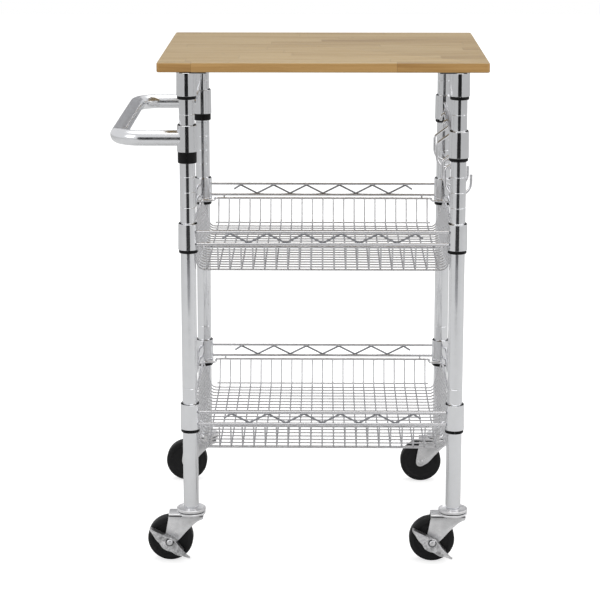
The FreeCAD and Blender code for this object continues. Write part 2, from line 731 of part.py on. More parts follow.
def make_rack(collar):
    foot = f"({RACK_TOP} - collar_height)"
    high = f"({RACK_TOP} - rail_drop)"
    low = f"({high} - truss_height)"
    ends = ("front_right", "back_right")
    stand_on_posts("rack_collars", collar, foot, ends)
    sleeve = make_sleeve("rack_sleeve", "(collar_height - 0.3)", "sleeve_drop",
                         "(collar_height - bead_drop)")
    stand_on_posts("rack_sleeves", sleeve, foot, ends)
    group("rack_rails", [rail_along_y(RIGHT, z, WALL_IN) for z in (high, low)])
    truss = make_truss()
    group("rack_truss", [copy_of(truss, RIGHT, MID_Y, low, degrees=90.0)])
    spots = ("-hook_outer", "-hook_inner", "hook_inner", "hook_outer")
    for number, y in enumerate(spots, start=1):
        make_hook(number, y, low)


def make_hook(number, y, rail_z):
    """A loose wire hook: an eye over the rail, a shank that swings in, a wide bend, a prong."""
    hook = make_body(f"hook_{number}")
    path = sketch_on(hook, "XZ_Plane")
    crown = f"({RAIL_HALF} + hook_gap + hook_wire / 2)"
    swell = "((hook_shank + hook_prong) / 2 - 0.1)"
    corners = [("-hook_eye", "-hook_eye_drop"), ("-hook_eye", crown), ("hook_eye", crown),
               ("hook_eye", "-2 * hook_eye"), ("-hook_shank", "-4.5 * hook_eye"),
               ("-hook_shank", "-hook_depth"), ("hook_prong", "-hook_depth"),
               ("hook_prong", "hook_mouth - hook_depth")]
    tight = "hook_eye - 0.1"
    draw_path(path, corners, [tight, tight, tight, tight, swell, swell])
    pipe_along(hook, path, "hook_wire / 2")
    place(hook, RIGHT, f"{MID_Y} + {y}", rail_z)


# ------------------------------------------------------------------ casters

AXLE_Z = "(wheel_dia / 2)"
RACE_FOOT = "(crown_top + race_gap)"
LEG_OUT = "(leg_gap / 2 + leg_thick)"
BALL_Z = "(crown_top + race_gap / 2)"


def draw_ball_track(body, level):
    """Groove for the balls, round the king pin."""
    track = sketch_on(body, "XZ_Plane")
    draw_circle(track, "ball_dia / 2 + 0.1", "ball_circle", level)
    return revolve(body, track, groove=True)


def make_caster_bearings():
    """The fixed half of each caster: threaded stem with its rivet head, dished race, balls."""
    stem = make_body("stem", is_node=False)
    section = sketch_on(stem, "XZ_Plane")
    seat = f"({RACE_FOOT} + race_thick)"
    head_top = "(crown_top - crown_thick - 0.4)"
    draw_polygon(section, [("0", f"{head_top} - 3"), ("stem_dia / 2 + 1.5", f"{head_top} - 3"),
                           ("stem_dia / 2 + 3", f"{head_top} - 1.5"), ("stem_dia / 2 + 3", head_top),
                           ("stem_dia / 2", head_top), ("stem_dia / 2", seat),
                           ("stem_dia / 2 + 5", seat), ("stem_dia / 2 + 5", "post_foot"),
                           ("stem_dia / 2", "post_foot"),
                           ("stem_dia / 2", "post_foot + stem_length - 1"),
                           ("stem_dia / 2 - 1", "post_foot + stem_length"),
                           ("0", "post_foot + stem_length")])
    revolve(stem, section)
    stand_on_posts("caster_stems", stem, "0")

    race = make_body("race", is_node=False)
    dish = sketch_on(race, "XZ_Plane")
    foot = RACE_FOOT
    edge = "(race_dia / 2)"
    draw_polygon(dish, [("stem_dia / 2", foot), (f"{edge} - 2", foot), (edge, f"{foot} + 2"),
                        (edge, f"{foot} + race_rim"), (f"{edge} - race_thick", f"{foot} + race_rim"),
                        (f"{edge} - race_thick - 1.2", f"{foot} + race_thick"),
                        ("stem_dia / 2", f"{foot} + race_thick")])
    revolve(race, dish)
    draw_ball_track(race, BALL_Z)
    stand_on_posts("caster_races", race, "0")

    balls = make_body("ball_set", is_node=False)
    section = sketch_on(balls, "XZ_Plane")
    arc = Part.ArcOfCircle(Part.Circle(at(("0", BALL_Z)), Vector(0, 0, 1), measure("ball_dia / 2")),
                           -math.pi / 2, math.pi / 2)
    half = section.addGeometry(arc)
    line = section.addGeometry(Part.LineSegment(section.getPoint(half, 2), section.getPoint(half, 1)))
    section.addConstraint([Sketcher.Constraint("Coincident", half, 2, line, 1),
                           Sketcher.Constraint("Coincident", half, 1, line, 2),
                           Sketcher.Constraint("PointOnObject", half, 1, -2),
                           Sketcher.Constraint("PointOnObject", half, 2, -2)])
    pin_point(section, half, 3, ("0", BALL_Z))
    constrain(section, "Radius", half, text="ball_dia / 2")
    revolve(balls, section)
    ring = [copy_of(balls, f"{x} + ball_circle * cos({step} * 360 / ball_count)",
                    f"{y} + ball_circle * sin({step} * 360 / ball_count)", "0")
            for x, y in CORNERS.values() for step in range(int(SIZES["ball_count"]))]
    group("caster_balls", ring)


def make_fork(corner, x, y):
    """Pressed fork: a round crown over the king pin and two legs down to the axle."""
    fork = make_body(f"fork_{corner}")
    crown_foot = "(crown_top - crown_thick)"
    shell_top = "(crown_top - 1.2)"
    legs = sketch_on(fork, "XZ_Plane")
    axle_x = "-caster_trail"
    draw_polygon(legs, [(f"{axle_x} - 2", shell_top), (f"{axle_x} - leg_end", f"{AXLE_Z} + leg_end"),
                        (f"{axle_x} - leg_end", AXLE_Z), (f"{axle_x} + leg_end * 0.7", f"{AXLE_Z} - leg_end * 0.7"),
                        (f"{axle_x} + 14", f"{AXLE_Z} - 1.5"),
                        ("crown_dia / 2 - 21.5", f"{crown_foot} - 17"),
                        ("crown_dia / 2 - 13.5", f"{crown_foot} - 10"),
                        ("crown_dia / 2 - 3", f"{crown_foot} - 4"), ("crown_dia / 2 - 3", shell_top)])
    extrude(fork, legs, f"2 * {LEG_OUT}", both_ways=True)
    end = sketch_on(fork, "XZ_Plane")
    draw_circle(end, "leg_end", axle_x, AXLE_Z)
    extrude(fork, end, f"2 * {LEG_OUT}", both_ways=True)
    plate = sketch_on(fork, "XZ_Plane")
    draw_polygon(plate, [("0", crown_foot), ("crown_dia / 2 - 1.5", crown_foot),
                         ("crown_dia / 2", f"{crown_foot} + 1.5"), ("crown_dia / 2", "crown_top"),
                         ("0", "crown_top")])
    revolve(fork, plate)
    hollow = sketch_on(fork, "XZ_Plane")
    draw_polygon(hollow, [("-wheel_dia", "0"), ("crown_dia", "0"), ("crown_dia", crown_foot),
                          ("-wheel_dia", crown_foot)])
    cut(fork, hollow, "leg_gap", both_ways=True)
    holes = sketch_on(fork, "XZ_Plane")
    draw_circle(holes, "axle_dia / 2", axle_x, AXLE_Z)
    cut(fork, holes, f"3 * {LEG_OUT}", both_ways=True)
    bore = sketch_on(fork, "XY_Plane")
    draw_circle(bore, "stem_dia / 2 + stem_play")
    cut(fork, bore, "crown_top + 1", back=True)
    draw_ball_track(fork, BALL_Z)
    place(fork, x, y, "0")


def lie_on_axle(thing, x, y):
    return place(thing, f"{x} - caster_trail", y, AXLE_Z, (1, 0, 0), -90.0)


def make_axle(corner, x, y, front_head):
    axle = make_body(f"axle_{corner}")
    section = sketch_on(axle, "XZ_Plane")
    near = f"-({front_head})"
    draw_polygon(section, [("0", f"{near} - 2.5"), ("axle_dia / 2 + 1.5", f"{near} - 2.5"),
                           ("axle_dia / 2 + 2.5", f"{near} - 1.5"), ("axle_dia / 2 + 2.5", near),
                           ("axle_dia / 2", near), ("axle_dia / 2", LEG_OUT),
                           ("axle_dia / 2 + 2.5", LEG_OUT), ("axle_dia / 2 + 2.5", f"{LEG_OUT} + 2"),
                           ("axle_dia / 2 + 1", f"{LEG_OUT} + 3"), ("0", f"{LEG_OUT} + 3")])
    revolve(axle, section)
    lie_on_axle(axle, x, y)


def make_wheel(corner, x, y):
    wheel = make_body(f"wheel_{corner}")
    section = sketch_on(wheel, "XZ_Plane")
    tread = "wheel_dia / 2"
    half = "wheel_width / 2"
    right = [("wheel_bore / 2", f"{half} + 0.8"), ("wheel_bore / 2 + 4", f"{half} + 0.8"),
             ("wheel_bore / 2 + 5", f"{half} - 1.5"), (f"{tread} - 10", f"{half} - 1.5"),
             (f"{tread} - 8.5", half), (f"{tread} - 3", half), (f"{tread} - 0.9", f"{half} - 1.2"),
             (tread, f"{half} - 4")]
    draw_polygon(section, right + [(r, f"-({w})") for r, w in reversed(right)])
    revolve(wheel, section)
    lie_on_axle(wheel, x, y)
    bush = make_body(f"bush_{corner}")
    ring = sketch_on(bush, "XY_Plane")
    draw_circle(ring, "wheel_bore / 2")
    draw_circle(ring, "axle_dia / 2 + axle_play")
    extrude(bush, ring, "leg_gap - 0.6", both_ways=True)
    lie_on_axle(bush, x, y)


def make_brake_lever(corner, x, y):
    """Pressed butterfly lever in front of the leg: a lobed face with folded edges and a foot tab."""
    lever = make_body(f"brake_lever_{corner}")
    tip = "(wheel_dia / 2 + 1)"
    upper = [(f"-{tip}", "0"), ("-14", "4"), ("4", "6.5"), ("18", "2.5"), (tip, "-1.5"),
             (f"{tip} + 4", "-1.5")]
    lower = [(f"-{tip}", "-3"), ("-25", "-11"), ("-14", "-12"), ("-5", "-15.5"), ("4", "-15.5"),
             ("12", "-12.5"), ("20", "-12.5"), ("32", "-8"), (f"{tip} + 4", "-5")]
    outline = sketch_on(lever, "XZ_Plane")
    draw_polygon(outline, upper + lower[::-1])
    extrude(lever, outline, "lever_thick")
    # folded edges reach back from the face to the leg
    for edge, fold in ((upper[:5], "- lever_thick"), (lower[1:8], "+ lever_thick")):
        band = sketch_on(lever, "XZ_Plane")
        draw_polygon(band, edge + [(along, f"{across} {fold}") for along, across in edge[::-1]])
        extrude(lever, band, "lever_deep", back=True)
    hub = sketch_on(lever, "XZ_Plane")
    draw_circle(hub, "axle_dia / 2 + 2.5")
    extrude(lever, hub, "lever_deep", back=True)
    eye = sketch_on(lever, "XZ_Plane")
    draw_circle(eye, "axle_dia / 2 + axle_play")
    cut(lever, eye, "4 * lever_deep", both_ways=True)
    face_y = f"{y} - {LEG_OUT} - lever_gap - lever_deep"
    place(lever, f"{x} - caster_trail", face_y, AXLE_Z, (0, 1, 0), measure("lever_lean"))


def make_casters():
    make_caster_bearings()
    for corner, (x, y) in CORNERS.items():
        braked = corner.startswith("front")
        make_fork(corner, x, y)
        outside = f"({LEG_OUT} + lever_deep + lever_thick + 2 * lever_gap)"
        make_axle(corner, x, y, outside if braked else LEG_OUT)
        make_wheel(corner, x, y)
        if braked:
            make_brake_lever(corner, x, y)


# ---------------------------------------------------------------- assembly

def check_document():
    for thing in doc.Objects:
        if "Invalid" in thing.State or "Error" in thing.State:
            raise RuntimeError(f"{thing.Label} failed: {thing.State}")
    for node in nodes:
        if node.Shape.isNull() or not node.Shape.isValid():
            raise RuntimeError(f"{node.Label} has no valid shape")


def build():
    make_worktop()
    make_screws()
    make_sockets()
    above = "(socket_height - flange_thick - 0.3)"
    socket_sleeve = make_sleeve("socket_sleeve", above, "sleeve_drop", "socket_bead", ears=False)
    stand_on_posts("socket_sleeves", socket_sleeve, SOCKET_FOOT)
    make_posts()
    make_inserts()
    collar = make_collar()
    make_baskets(collar)
    make_handle(collar)
    make_rack(collar)
    make_casters()
    doc.recompute()
    check_document()
    os.makedirs("parts", exist_ok=True)
    for node in nodes:
        node.Shape.exportStep(f"parts/{node.Label}.step")
    print(f"{len(nodes)} nodes written")


build()
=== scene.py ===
"""A rolling kitchen cart: wooden worktop on grooved chromed posts, two wire baskets,
a push handle, a side rack with loose hooks and four swivel casters."""

import math

import bmesh
import bpy
from mathutils import Matrix, Vector


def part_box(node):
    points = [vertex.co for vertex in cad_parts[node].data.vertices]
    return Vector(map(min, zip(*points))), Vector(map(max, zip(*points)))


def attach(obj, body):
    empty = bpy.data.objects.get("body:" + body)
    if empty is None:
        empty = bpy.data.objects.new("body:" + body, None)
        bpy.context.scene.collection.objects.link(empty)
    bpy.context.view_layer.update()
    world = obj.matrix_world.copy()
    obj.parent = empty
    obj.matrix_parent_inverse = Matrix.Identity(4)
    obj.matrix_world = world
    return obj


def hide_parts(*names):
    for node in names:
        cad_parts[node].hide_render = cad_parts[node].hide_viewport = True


bl_info = {
    "name": "Kitchen cart",
    "version": (1, 0, 0),
    "blender": (4, 5, 0),
    "location": "3D View > Sidebar > Kitchen cart",
    "description": "Makes the visible pieces, finishes and stage of a rolling kitchen cart",
    "category": "Object",
}

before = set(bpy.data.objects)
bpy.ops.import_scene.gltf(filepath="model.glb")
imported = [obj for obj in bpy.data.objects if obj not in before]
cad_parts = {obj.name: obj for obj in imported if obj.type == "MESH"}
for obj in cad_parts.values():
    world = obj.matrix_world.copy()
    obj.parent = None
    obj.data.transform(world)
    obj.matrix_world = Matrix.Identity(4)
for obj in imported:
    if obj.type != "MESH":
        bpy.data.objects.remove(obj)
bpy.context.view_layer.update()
MM = 0.001
CORNERS = ("front_left", "front_right", "back_left", "back_right")
LEVELS = ("upper", "lower")


# ------------------------------------------------------- places from the frame

def middle(node):
    low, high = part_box(node)
    return (low + high) / 2


def post_at(corner):
    spot = middle(f"post_{corner}")
    return Vector((spot.x, spot.y, 0))


POSTS = {corner: post_at(corner) for corner in CORNERS}
CART = sum(POSTS.values(), Vector()) / 4
SPAN = POSTS["back_right"] - POSTS["front_left"]
BOARD_LOW, BOARD_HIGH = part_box("worktop")
# how far the axle trails the post, and how far a split sleeve shows under its collar
AXLE_TRAIL = 35 * MM
WHEEL_RADIUS = 38 * MM
FORK_HALF = 15.2 * MM
SLEEVE_DROP = 5.5 * MM


def axle_at(corner):
    """The middle of a wheel, in the trailing place that it has at rest."""
    return POSTS[corner] + Vector((-AXLE_TRAIL, 0, WHEEL_RADIUS))


# ------------------------------------------------------------- sizes, colours

def linear(code):
    """An sRGB hex colour as linear red, green, blue."""
    parts = [int(code[i:i + 2], 16) / 255 for i in (1, 3, 5)]
    return tuple(p / 12.92 if p <= 0.04045 else ((p + 0.055) / 1.055) ** 2.4 for p in parts)


def colour(name, code, words):
    return bpy.props.FloatVectorProperty(name=name, subtype="COLOR", size=3, min=0, max=1,
                                         default=linear(code), description=words)


def length(name, size_mm, words):
    return bpy.props.FloatProperty(name=name, unit="LENGTH", default=size_mm * MM, min=0.0,
                                   precision=5, description=words)


class CartSizes(bpy.types.PropertyGroup):
    post_dia: length("Post", 25.4, "Outside of the post tube")
    groove_pitch: length("Groove pitch", 25.4, "Height from one post groove to the next")
    groove_width: length("Groove width", 1.5, "Height of one rolled groove")
    groove_depth: length("Groove depth", 0.45, "How deep a groove is rolled")
    rail_dia: length("Rail", 5.0, "Rail wire of the baskets and the rack")
    rim_dia: length("Tray rim", 4.0, "Wire round the top of a tray")
    rim_out: length("Rim offset", 2.5, "Rim's centre outside the post centres")
    rim_notch: length("Rim notch", 21.5, "Post centre to the rim where it passes a post")
    mesh_dia: length("Tray wire", 2.5, "Wire of the tray's mesh")
    mesh_pitch: length("Tray pitch", 19.05, "From one tray wire to the next")
    mesh_bend: length("Tray bend", 11.0, "Bend between the tray's floor and walls")
    wall_height: length("Tray wall", 43.0, "Rim down to the floor wires")
    wall_slope: length("Wall slope", 15.0, "How far a wall leans out")
    truss_dia: length("Truss wire", 3.2, "Zigzag wire between the rails")
    truss_pitch: length("Truss pitch", 60.4, "From one crest of the zigzag to the next")
    truss_tail: length("Truss tail", 12.0, "Last crest to the wire's end")
    tie_dia: length("Link wire", 3.2, "Short links from the rim to the rails")
    hook_dia: length("Hook wire", 4.5, "Wire of the loose hooks")
    handle_dia: length("Handle", 25.4, "Outside of the handle tube")
    handle_bend: length("Handle bend", 42.0, "Bend at the handle's corners")
    stave: length("Stave", 41.0, "Width of one glued stave of the worktop")
    plank: length("Finger joint", 330.0, "Length of stave between finger joints")


class CartFinishes(bpy.types.PropertyGroup):
    wood_pale: colour("Pale wood", "#A48D64", "Lightest staves of the worktop")
    wood_mid: colour("Mid wood", "#967D52", "Most staves of the worktop")
    wood_deep: colour("Deep wood", "#7D6139", "Darkest staves and grain lines")
    chrome: colour("Chrome", "#ECEDEF", "Plated tube and collars")
    wire: colour("Plated wire", "#EEEEF0", "Plated wire of baskets and rack")
    zinc: colour("Zinc", "#ECECED", "Bright zinc on the casters")
    sleeve: colour("Black plastic", "#0A0A0B", "Split sleeves")
    wheel: colour("Wheel", "#161617", "Moulded wheels")


# ----------------------------------------------------------------- materials

def add(tree, kind, sockets=None, **settings):
    """A node with its settings; sockets take values, or the outputs that feed them."""
    made = tree.nodes.new(kind)
    for name, value in settings.items():
        setattr(made, name, value)
    for key, value in (sockets or {}).items():
        if isinstance(value, bpy.types.NodeSocket):
            tree.links.new(value, made.inputs[key])
        else:
            made.inputs[key].default_value = value
    return made


def new_material(name, **surface):
    """An empty material whose shader has its steady values on its own sockets."""
    material = bpy.data.materials.new(name)
    material.use_nodes = True
    tree = material.node_tree
    tree.nodes.clear()
    shader = add(tree, "ShaderNodeBsdfPrincipled", surface)
    add(tree, "ShaderNodeOutputMaterial", {"Surface": shader.outputs[0]})
    return material, tree, shader


def rgba(rgb):
    return (*rgb, 1.0)


def chrome_plate(name, rgb, roughness, draw=(1.0, 1.0, 1.0)):
    """Bright nickel-chrome plate over polished steel: near mirror, with a faint haze of
    handling marks, and soft ripples where the steel under it was drawn or polished."""
    material, tree, shader = new_material(name, Metallic=1.0)
    place = add(tree, "ShaderNodeTexCoord").outputs["Object"]
    drawn = add(tree, "ShaderNodeMapping", {"Vector": place, "Scale": draw}).outputs[0]
    # handling marks are 10 to 20 mm across
    haze = add(tree, "ShaderNodeTexNoise", {"Vector": place, "Scale": 70.0, "Detail": 5.0,
                                            "Roughness": 0.6})
    gloss = add(tree, "ShaderNodeMapRange", {"Value": haze.outputs[0], "From Min": 0.35,
                                             "From Max": 0.7, "To Min": roughness * 0.75,
                                             "To Max": roughness * 1.5})
    tree.links.new(gloss.outputs[0], shader.inputs["Roughness"])
    deep = tuple(channel * 0.9 for channel in rgb)
    tint = add(tree, "ShaderNodeMix", {0: haze.outputs[0], "A": rgba(rgb), "B": rgba(deep)},
               data_type="RGBA")
    tree.links.new(tint.outputs["Result"], shader.inputs["Base Color"])
    # polishing ripples, about 6 mm from crest to crest, longer along the draw
    ripple = add(tree, "ShaderNodeTexNoise", {"Vector": drawn, "Scale": 160.0, "Detail": 2.0})
    bump = add(tree, "ShaderNodeBump", {"Height": ripple.outputs[0], "Strength": 0.09,
                                        "Distance": 0.0006})
    tree.links.new(bump.outputs[0], shader.inputs["Normal"])
    return material


def zinc_plate(name, rgb, dents=0.08, dent_mm=1.1, stain=0.9):
    """Bright zinc on pressed steel: satin and a little milky, with patches where the
    bath left it duller, and short marks from the press tool."""
    material, tree, shader = new_material(name, Metallic=1.0)
    place = add(tree, "ShaderNodeTexCoord").outputs["Object"]
    # crystal patches of about 5 mm
    patch = add(tree, "ShaderNodeTexVoronoi", {"Vector": place, "Scale": 200.0,
                                               "Randomness": 1.0}, feature="SMOOTH_F1")
    cloud = add(tree, "ShaderNodeTexNoise", {"Vector": place, "Scale": 120.0, "Detail": 6.0,
                                             "Roughness": 0.65})
    mixed = add(tree, "ShaderNodeMath", {0: patch.outputs["Distance"], 1: cloud.outputs[0],
                                         2: cloud.outputs[0]}, operation="MULTIPLY_ADD")
    ramp = add(tree, "ShaderNodeMapRange", {"Value": mixed.outputs[0], "From Min": 0.4,
                                            "From Max": 1.1, "To Min": 0.26, "To Max": 0.38})
    tree.links.new(ramp.outputs[0], shader.inputs["Roughness"])
    dull = tuple(channel * stain for channel in rgb)
    where = add(tree, "ShaderNodeMapRange", {"Value": cloud.outputs[0], "From Min": 0.4,
                                             "From Max": 0.62})
    tint = add(tree, "ShaderNodeMix", {0: where.outputs[0], "A": rgba(rgb), "B": rgba(dull)},
               data_type="RGBA")
    tree.links.new(tint.outputs["Result"], shader.inputs["Base Color"])
    marks = add(tree, "ShaderNodeTexNoise", {"Vector": place, "Scale": 1 / (dent_mm * MM),
                                             "Detail": 3.0})
    bump = add(tree, "ShaderNodeBump", {"Height": marks.outputs[0], "Strength": dents,
                                        "Distance": dent_mm * MM * 0.2})
    tree.links.new(bump.outputs[0], shader.inputs["Normal"])
    return material


def moulded(name, rgb, roughness, grain_mm, worn, shine):
    """Injection-moulded black plastic or hard rubber: an even satin skin with a fine spark
    texture, and paler rubbed patches."""
    material, tree, shader = new_material(name, **{"Specular IOR Level": shine})
    place = add(tree, "ShaderNodeTexCoord").outputs["Object"]
    scuff = add(tree, "ShaderNodeTexNoise", {"Vector": place, "Scale": 55.0, "Detail": 8.0,
                                             "Roughness": 0.7})
    spots = add(tree, "ShaderNodeMapRange", {"Value": scuff.outputs[0], "From Min": 0.52,
                                             "From Max": 0.78})
    tint = add(tree, "ShaderNodeMix", {0: spots.outputs[0], "A": rgba(rgb), "B": rgba(worn)},
               data_type="RGBA")
    tree.links.new(tint.outputs["Result"], shader.inputs["Base Color"])
    gloss = add(tree, "ShaderNodeMapRange", {"Value": scuff.outputs[0], "From Min": 0.3,
                                             "From Max": 0.75, "To Min": roughness * 0.85,
                                             "To Max": min(1.0, roughness * 1.35)})
    tree.links.new(gloss.outputs[0], shader.inputs["Roughness"])
    grain = add(tree, "ShaderNodeTexNoise", {"Vector": place, "Scale": 1 / (grain_mm * MM),
                                             "Detail": 2.0})
    bump = add(tree, "ShaderNodeBump", {"Height": grain.outputs[0], "Strength": 0.15,
                                        "Distance": 0.0002})
    tree.links.new(bump.outputs[0], shader.inputs["Normal"])
    return material


def lacquered_staves(name, sizes, finishes):
    """Edge-glued, finger-jointed hardwood under clear satin lacquer: each stave has its own
    tone and run of grain, thin glue lines between, pores, a few pin knots, and end grain."""
    material, tree, shader = new_material(
        name, **{"Coat Weight": 0.1, "Coat Roughness": 0.22, "Specular IOR Level": 0.35})
    place = add(tree, "ShaderNodeTexCoord").outputs["Object"]
    axes = add(tree, "ShaderNodeSeparateXYZ", {0: place})
    along, across = axes.outputs[:2]
    # staves are counted across the board, and lengths of one stave along it
    lane = add(tree, "ShaderNodeMath", {0: across, 1: 1 / sizes.stave}, operation="MULTIPLY")
    stave = add(tree, "ShaderNodeMath", {0: lane.outputs[0]}, operation="FLOOR")
    start = add(tree, "ShaderNodeTexWhiteNoise", {"W": stave.outputs[0]}, noise_dimensions="1D")
    run = add(tree, "ShaderNodeMath", {0: along, 1: 1 / sizes.plank, 2: start.outputs[0]},
              operation="MULTIPLY_ADD")
    plank = add(tree, "ShaderNodeMath", {0: run.outputs[0]}, operation="FLOOR")
    which = add(tree, "ShaderNodeCombineXYZ", {0: stave.outputs[0], 1: plank.outputs[0]})
    own = add(tree, "ShaderNodeTexWhiteNoise", {"Vector": which.outputs[0]})
    # every plank reads the grain from a different place in the log
    shift = add(tree, "ShaderNodeVectorMath", {0: own.outputs["Color"], 1: (3.0, 3.0, 3.0)},
                operation="MULTIPLY")
    log = add(tree, "ShaderNodeVectorMath", {0: place, 1: shift.outputs[0]}, operation="ADD")
    # growth rings, about 3 mm apart, drawn out along the board
    rings_at = add(tree, "ShaderNodeMapping", {"Vector": log.outputs[0],
                                               "Scale": (9.0, 330.0, 330.0)})
    rings = add(tree, "ShaderNodeTexNoise", {"Vector": rings_at.outputs[0], "Scale": 1.0,
                                             "Detail": 5.0, "Roughness": 0.6, "Distortion": 0.6})
    # pores, 0.5 mm wide and 10 mm long
    pores_at = add(tree, "ShaderNodeMapping", {"Vector": log.outputs[0],
                                               "Scale": (100.0, 1900.0, 1900.0)})
    pores = add(tree, "ShaderNodeTexNoise", {"Vector": pores_at.outputs[0], "Scale": 1.0,
                                             "Detail": 3.0})
    # broad bands of darker summer wood, 20 mm wide and half a metre long
    bands_at = add(tree, "ShaderNodeMapping", {"Vector": log.outputs[0],
                                               "Scale": (4.0, 75.0, 75.0)})
    bands = add(tree, "ShaderNodeTexNoise", {"Vector": bands_at.outputs[0], "Scale": 1.0,
                                             "Detail": 3.0, "Roughness": 0.55})
    band_tone = add(tree, "ShaderNodeMapRange", {"Value": bands.outputs[0], "From Min": 0.3,
                                                 "From Max": 0.7, "To Min": -0.34,
                                                 "To Max": 0.4})
    tone = add(tree, "ShaderNodeMath", {0: own.outputs["Value"], 1: 0.6,
                                        2: band_tone.outputs[0]}, operation="MULTIPLY_ADD")
    ring_tone = add(tree, "ShaderNodeMapRange", {"Value": rings.outputs[0], "From Min": 0.35,
                                                 "From Max": 0.75, "To Min": -0.2,
                                                 "To Max": 0.34})
    total = add(tree, "ShaderNodeMath", {0: tone.outputs[0], 1: ring_tone.outputs[0]},
                operation="ADD")
    ramp = add(tree, "ShaderNodeValToRGB", {"Fac": total.outputs[0]})
    ramp.color_ramp.elements[0].color = rgba(finishes.wood_pale)
    ramp.color_ramp.elements[1].color = rgba(finishes.wood_deep)
    ramp.color_ramp.elements.new(0.5).color = rgba(finishes.wood_mid)
    pore_dark = add(tree, "ShaderNodeMapRange", {"Value": pores.outputs[0], "From Min": 0.62,
                                                 "From Max": 0.8, "To Max": 0.3})
    dark = tuple(channel * 0.35 for channel in finishes.wood_deep)
    grained = add(tree, "ShaderNodeMix", {0: pore_dark.outputs[0], "A": ramp.outputs[0],
                                          "B": rgba(dark)}, data_type="RGBA")
    # pin knots, 3 to 8 mm, one every 110 mm or so
    knots = add(tree, "ShaderNodeTexVoronoi", {"Vector": place, "Scale": 9.0})
    knot = add(tree, "ShaderNodeMapRange", {"Value": knots.outputs["Distance"],
                                            "From Min": 0.045, "From Max": 0.014,
                                            "To Max": 0.85})
    knotted = add(tree, "ShaderNodeMix", {0: knot.outputs[0], "A": grained.outputs["Result"],
                                          "B": rgba(dark)}, data_type="RGBA")
    # glue lines: how near a point is to the edge of its stave, or to the end of its plank
    side = add(tree, "ShaderNodeMath", {0: lane.outputs[0]}, operation="FRACT")
    near_side = add(tree, "ShaderNodeMath", {0: side.outputs[0], 1: 0.5}, operation="PINGPONG")
    glue = add(tree, "ShaderNodeMapRange", {"Value": near_side.outputs[0], "From Min": 0.012,
                                            "From Max": 0.002, "To Max": 0.55})
    finish = add(tree, "ShaderNodeMath", {0: run.outputs[0]}, operation="FRACT")
    near_end = add(tree, "ShaderNodeMath", {0: finish.outputs[0], 1: 0.5}, operation="PINGPONG")
    joint = add(tree, "ShaderNodeMapRange", {"Value": near_end.outputs[0], "From Min": 0.0018,
                                             "From Max": 0.0004, "To Max": 0.45})
    line = add(tree, "ShaderNodeMath", {0: glue.outputs[0], 1: joint.outputs[0]},
               operation="MAXIMUM")
    glued = add(tree, "ShaderNodeMix", {0: line.outputs[0], "A": knotted.outputs["Result"],
                                        "B": rgba(dark)}, data_type="RGBA")
    # the two ends show end grain: darker, in short arcs and dots
    facing = add(tree, "ShaderNodeNewGeometry").outputs["Normal"]
    toward = add(tree, "ShaderNodeSeparateXYZ", {0: facing})
    end_face = add(tree, "ShaderNodeMath", {0: toward.outputs[0]}, operation="ABSOLUTE")
    end_mask = add(tree, "ShaderNodeMapRange", {"Value": end_face.outputs[0], "From Min": 0.8,
                                                "From Max": 0.95})
    dots = add(tree, "ShaderNodeTexNoise", {"Vector": log.outputs[0], "Scale": 700.0,
                                            "Detail": 4.0, "Roughness": 0.7})
    end_tone = add(tree, "ShaderNodeMix", {0: dots.outputs[0], "A": rgba(finishes.wood_mid),
                                           "B": rgba(tuple(c * 0.5 for c in finishes.wood_deep))},
                   data_type="RGBA")
    whole = add(tree, "ShaderNodeMix", {0: end_mask.outputs[0], "A": glued.outputs["Result"],
                                        "B": end_tone.outputs["Result"]}, data_type="RGBA")
    # sawn edges drink more lacquer than the sanded top, and so go browner
    level = add(tree, "ShaderNodeMath", {0: toward.outputs[2]}, operation="ABSOLUTE")
    sawn = add(tree, "ShaderNodeMapRange", {"Value": level.outputs[0], "From Min": 0.7,
                                            "From Max": 0.3})
    soaked = add(tree, "ShaderNodeMix", {0: sawn.outputs[0], "A": whole.outputs["Result"],
                                         "B": (1.3, 1.07, 0.8, 1.0)}, data_type="RGBA",
                 blend_type="MULTIPLY")
    tree.links.new(soaked.outputs["Result"], shader.inputs["Base Color"])
    gloss = add(tree, "ShaderNodeMapRange", {"Value": rings.outputs[0], "From Min": 0.3,
                                             "From Max": 0.8, "To Min": 0.34, "To Max": 0.5})
    tree.links.new(gloss.outputs[0], shader.inputs["Roughness"])
    relief = add(tree, "ShaderNodeMath", {0: pores.outputs[0], 1: line.outputs[0]},
                 operation="SUBTRACT")
    bump = add(tree, "ShaderNodeBump", {"Height": relief.outputs[0], "Strength": 0.12,
                                        "Distance": 0.0003})
    tree.links.new(bump.outputs[0], shader.inputs["Normal"])
    return material


FINISHES = {}


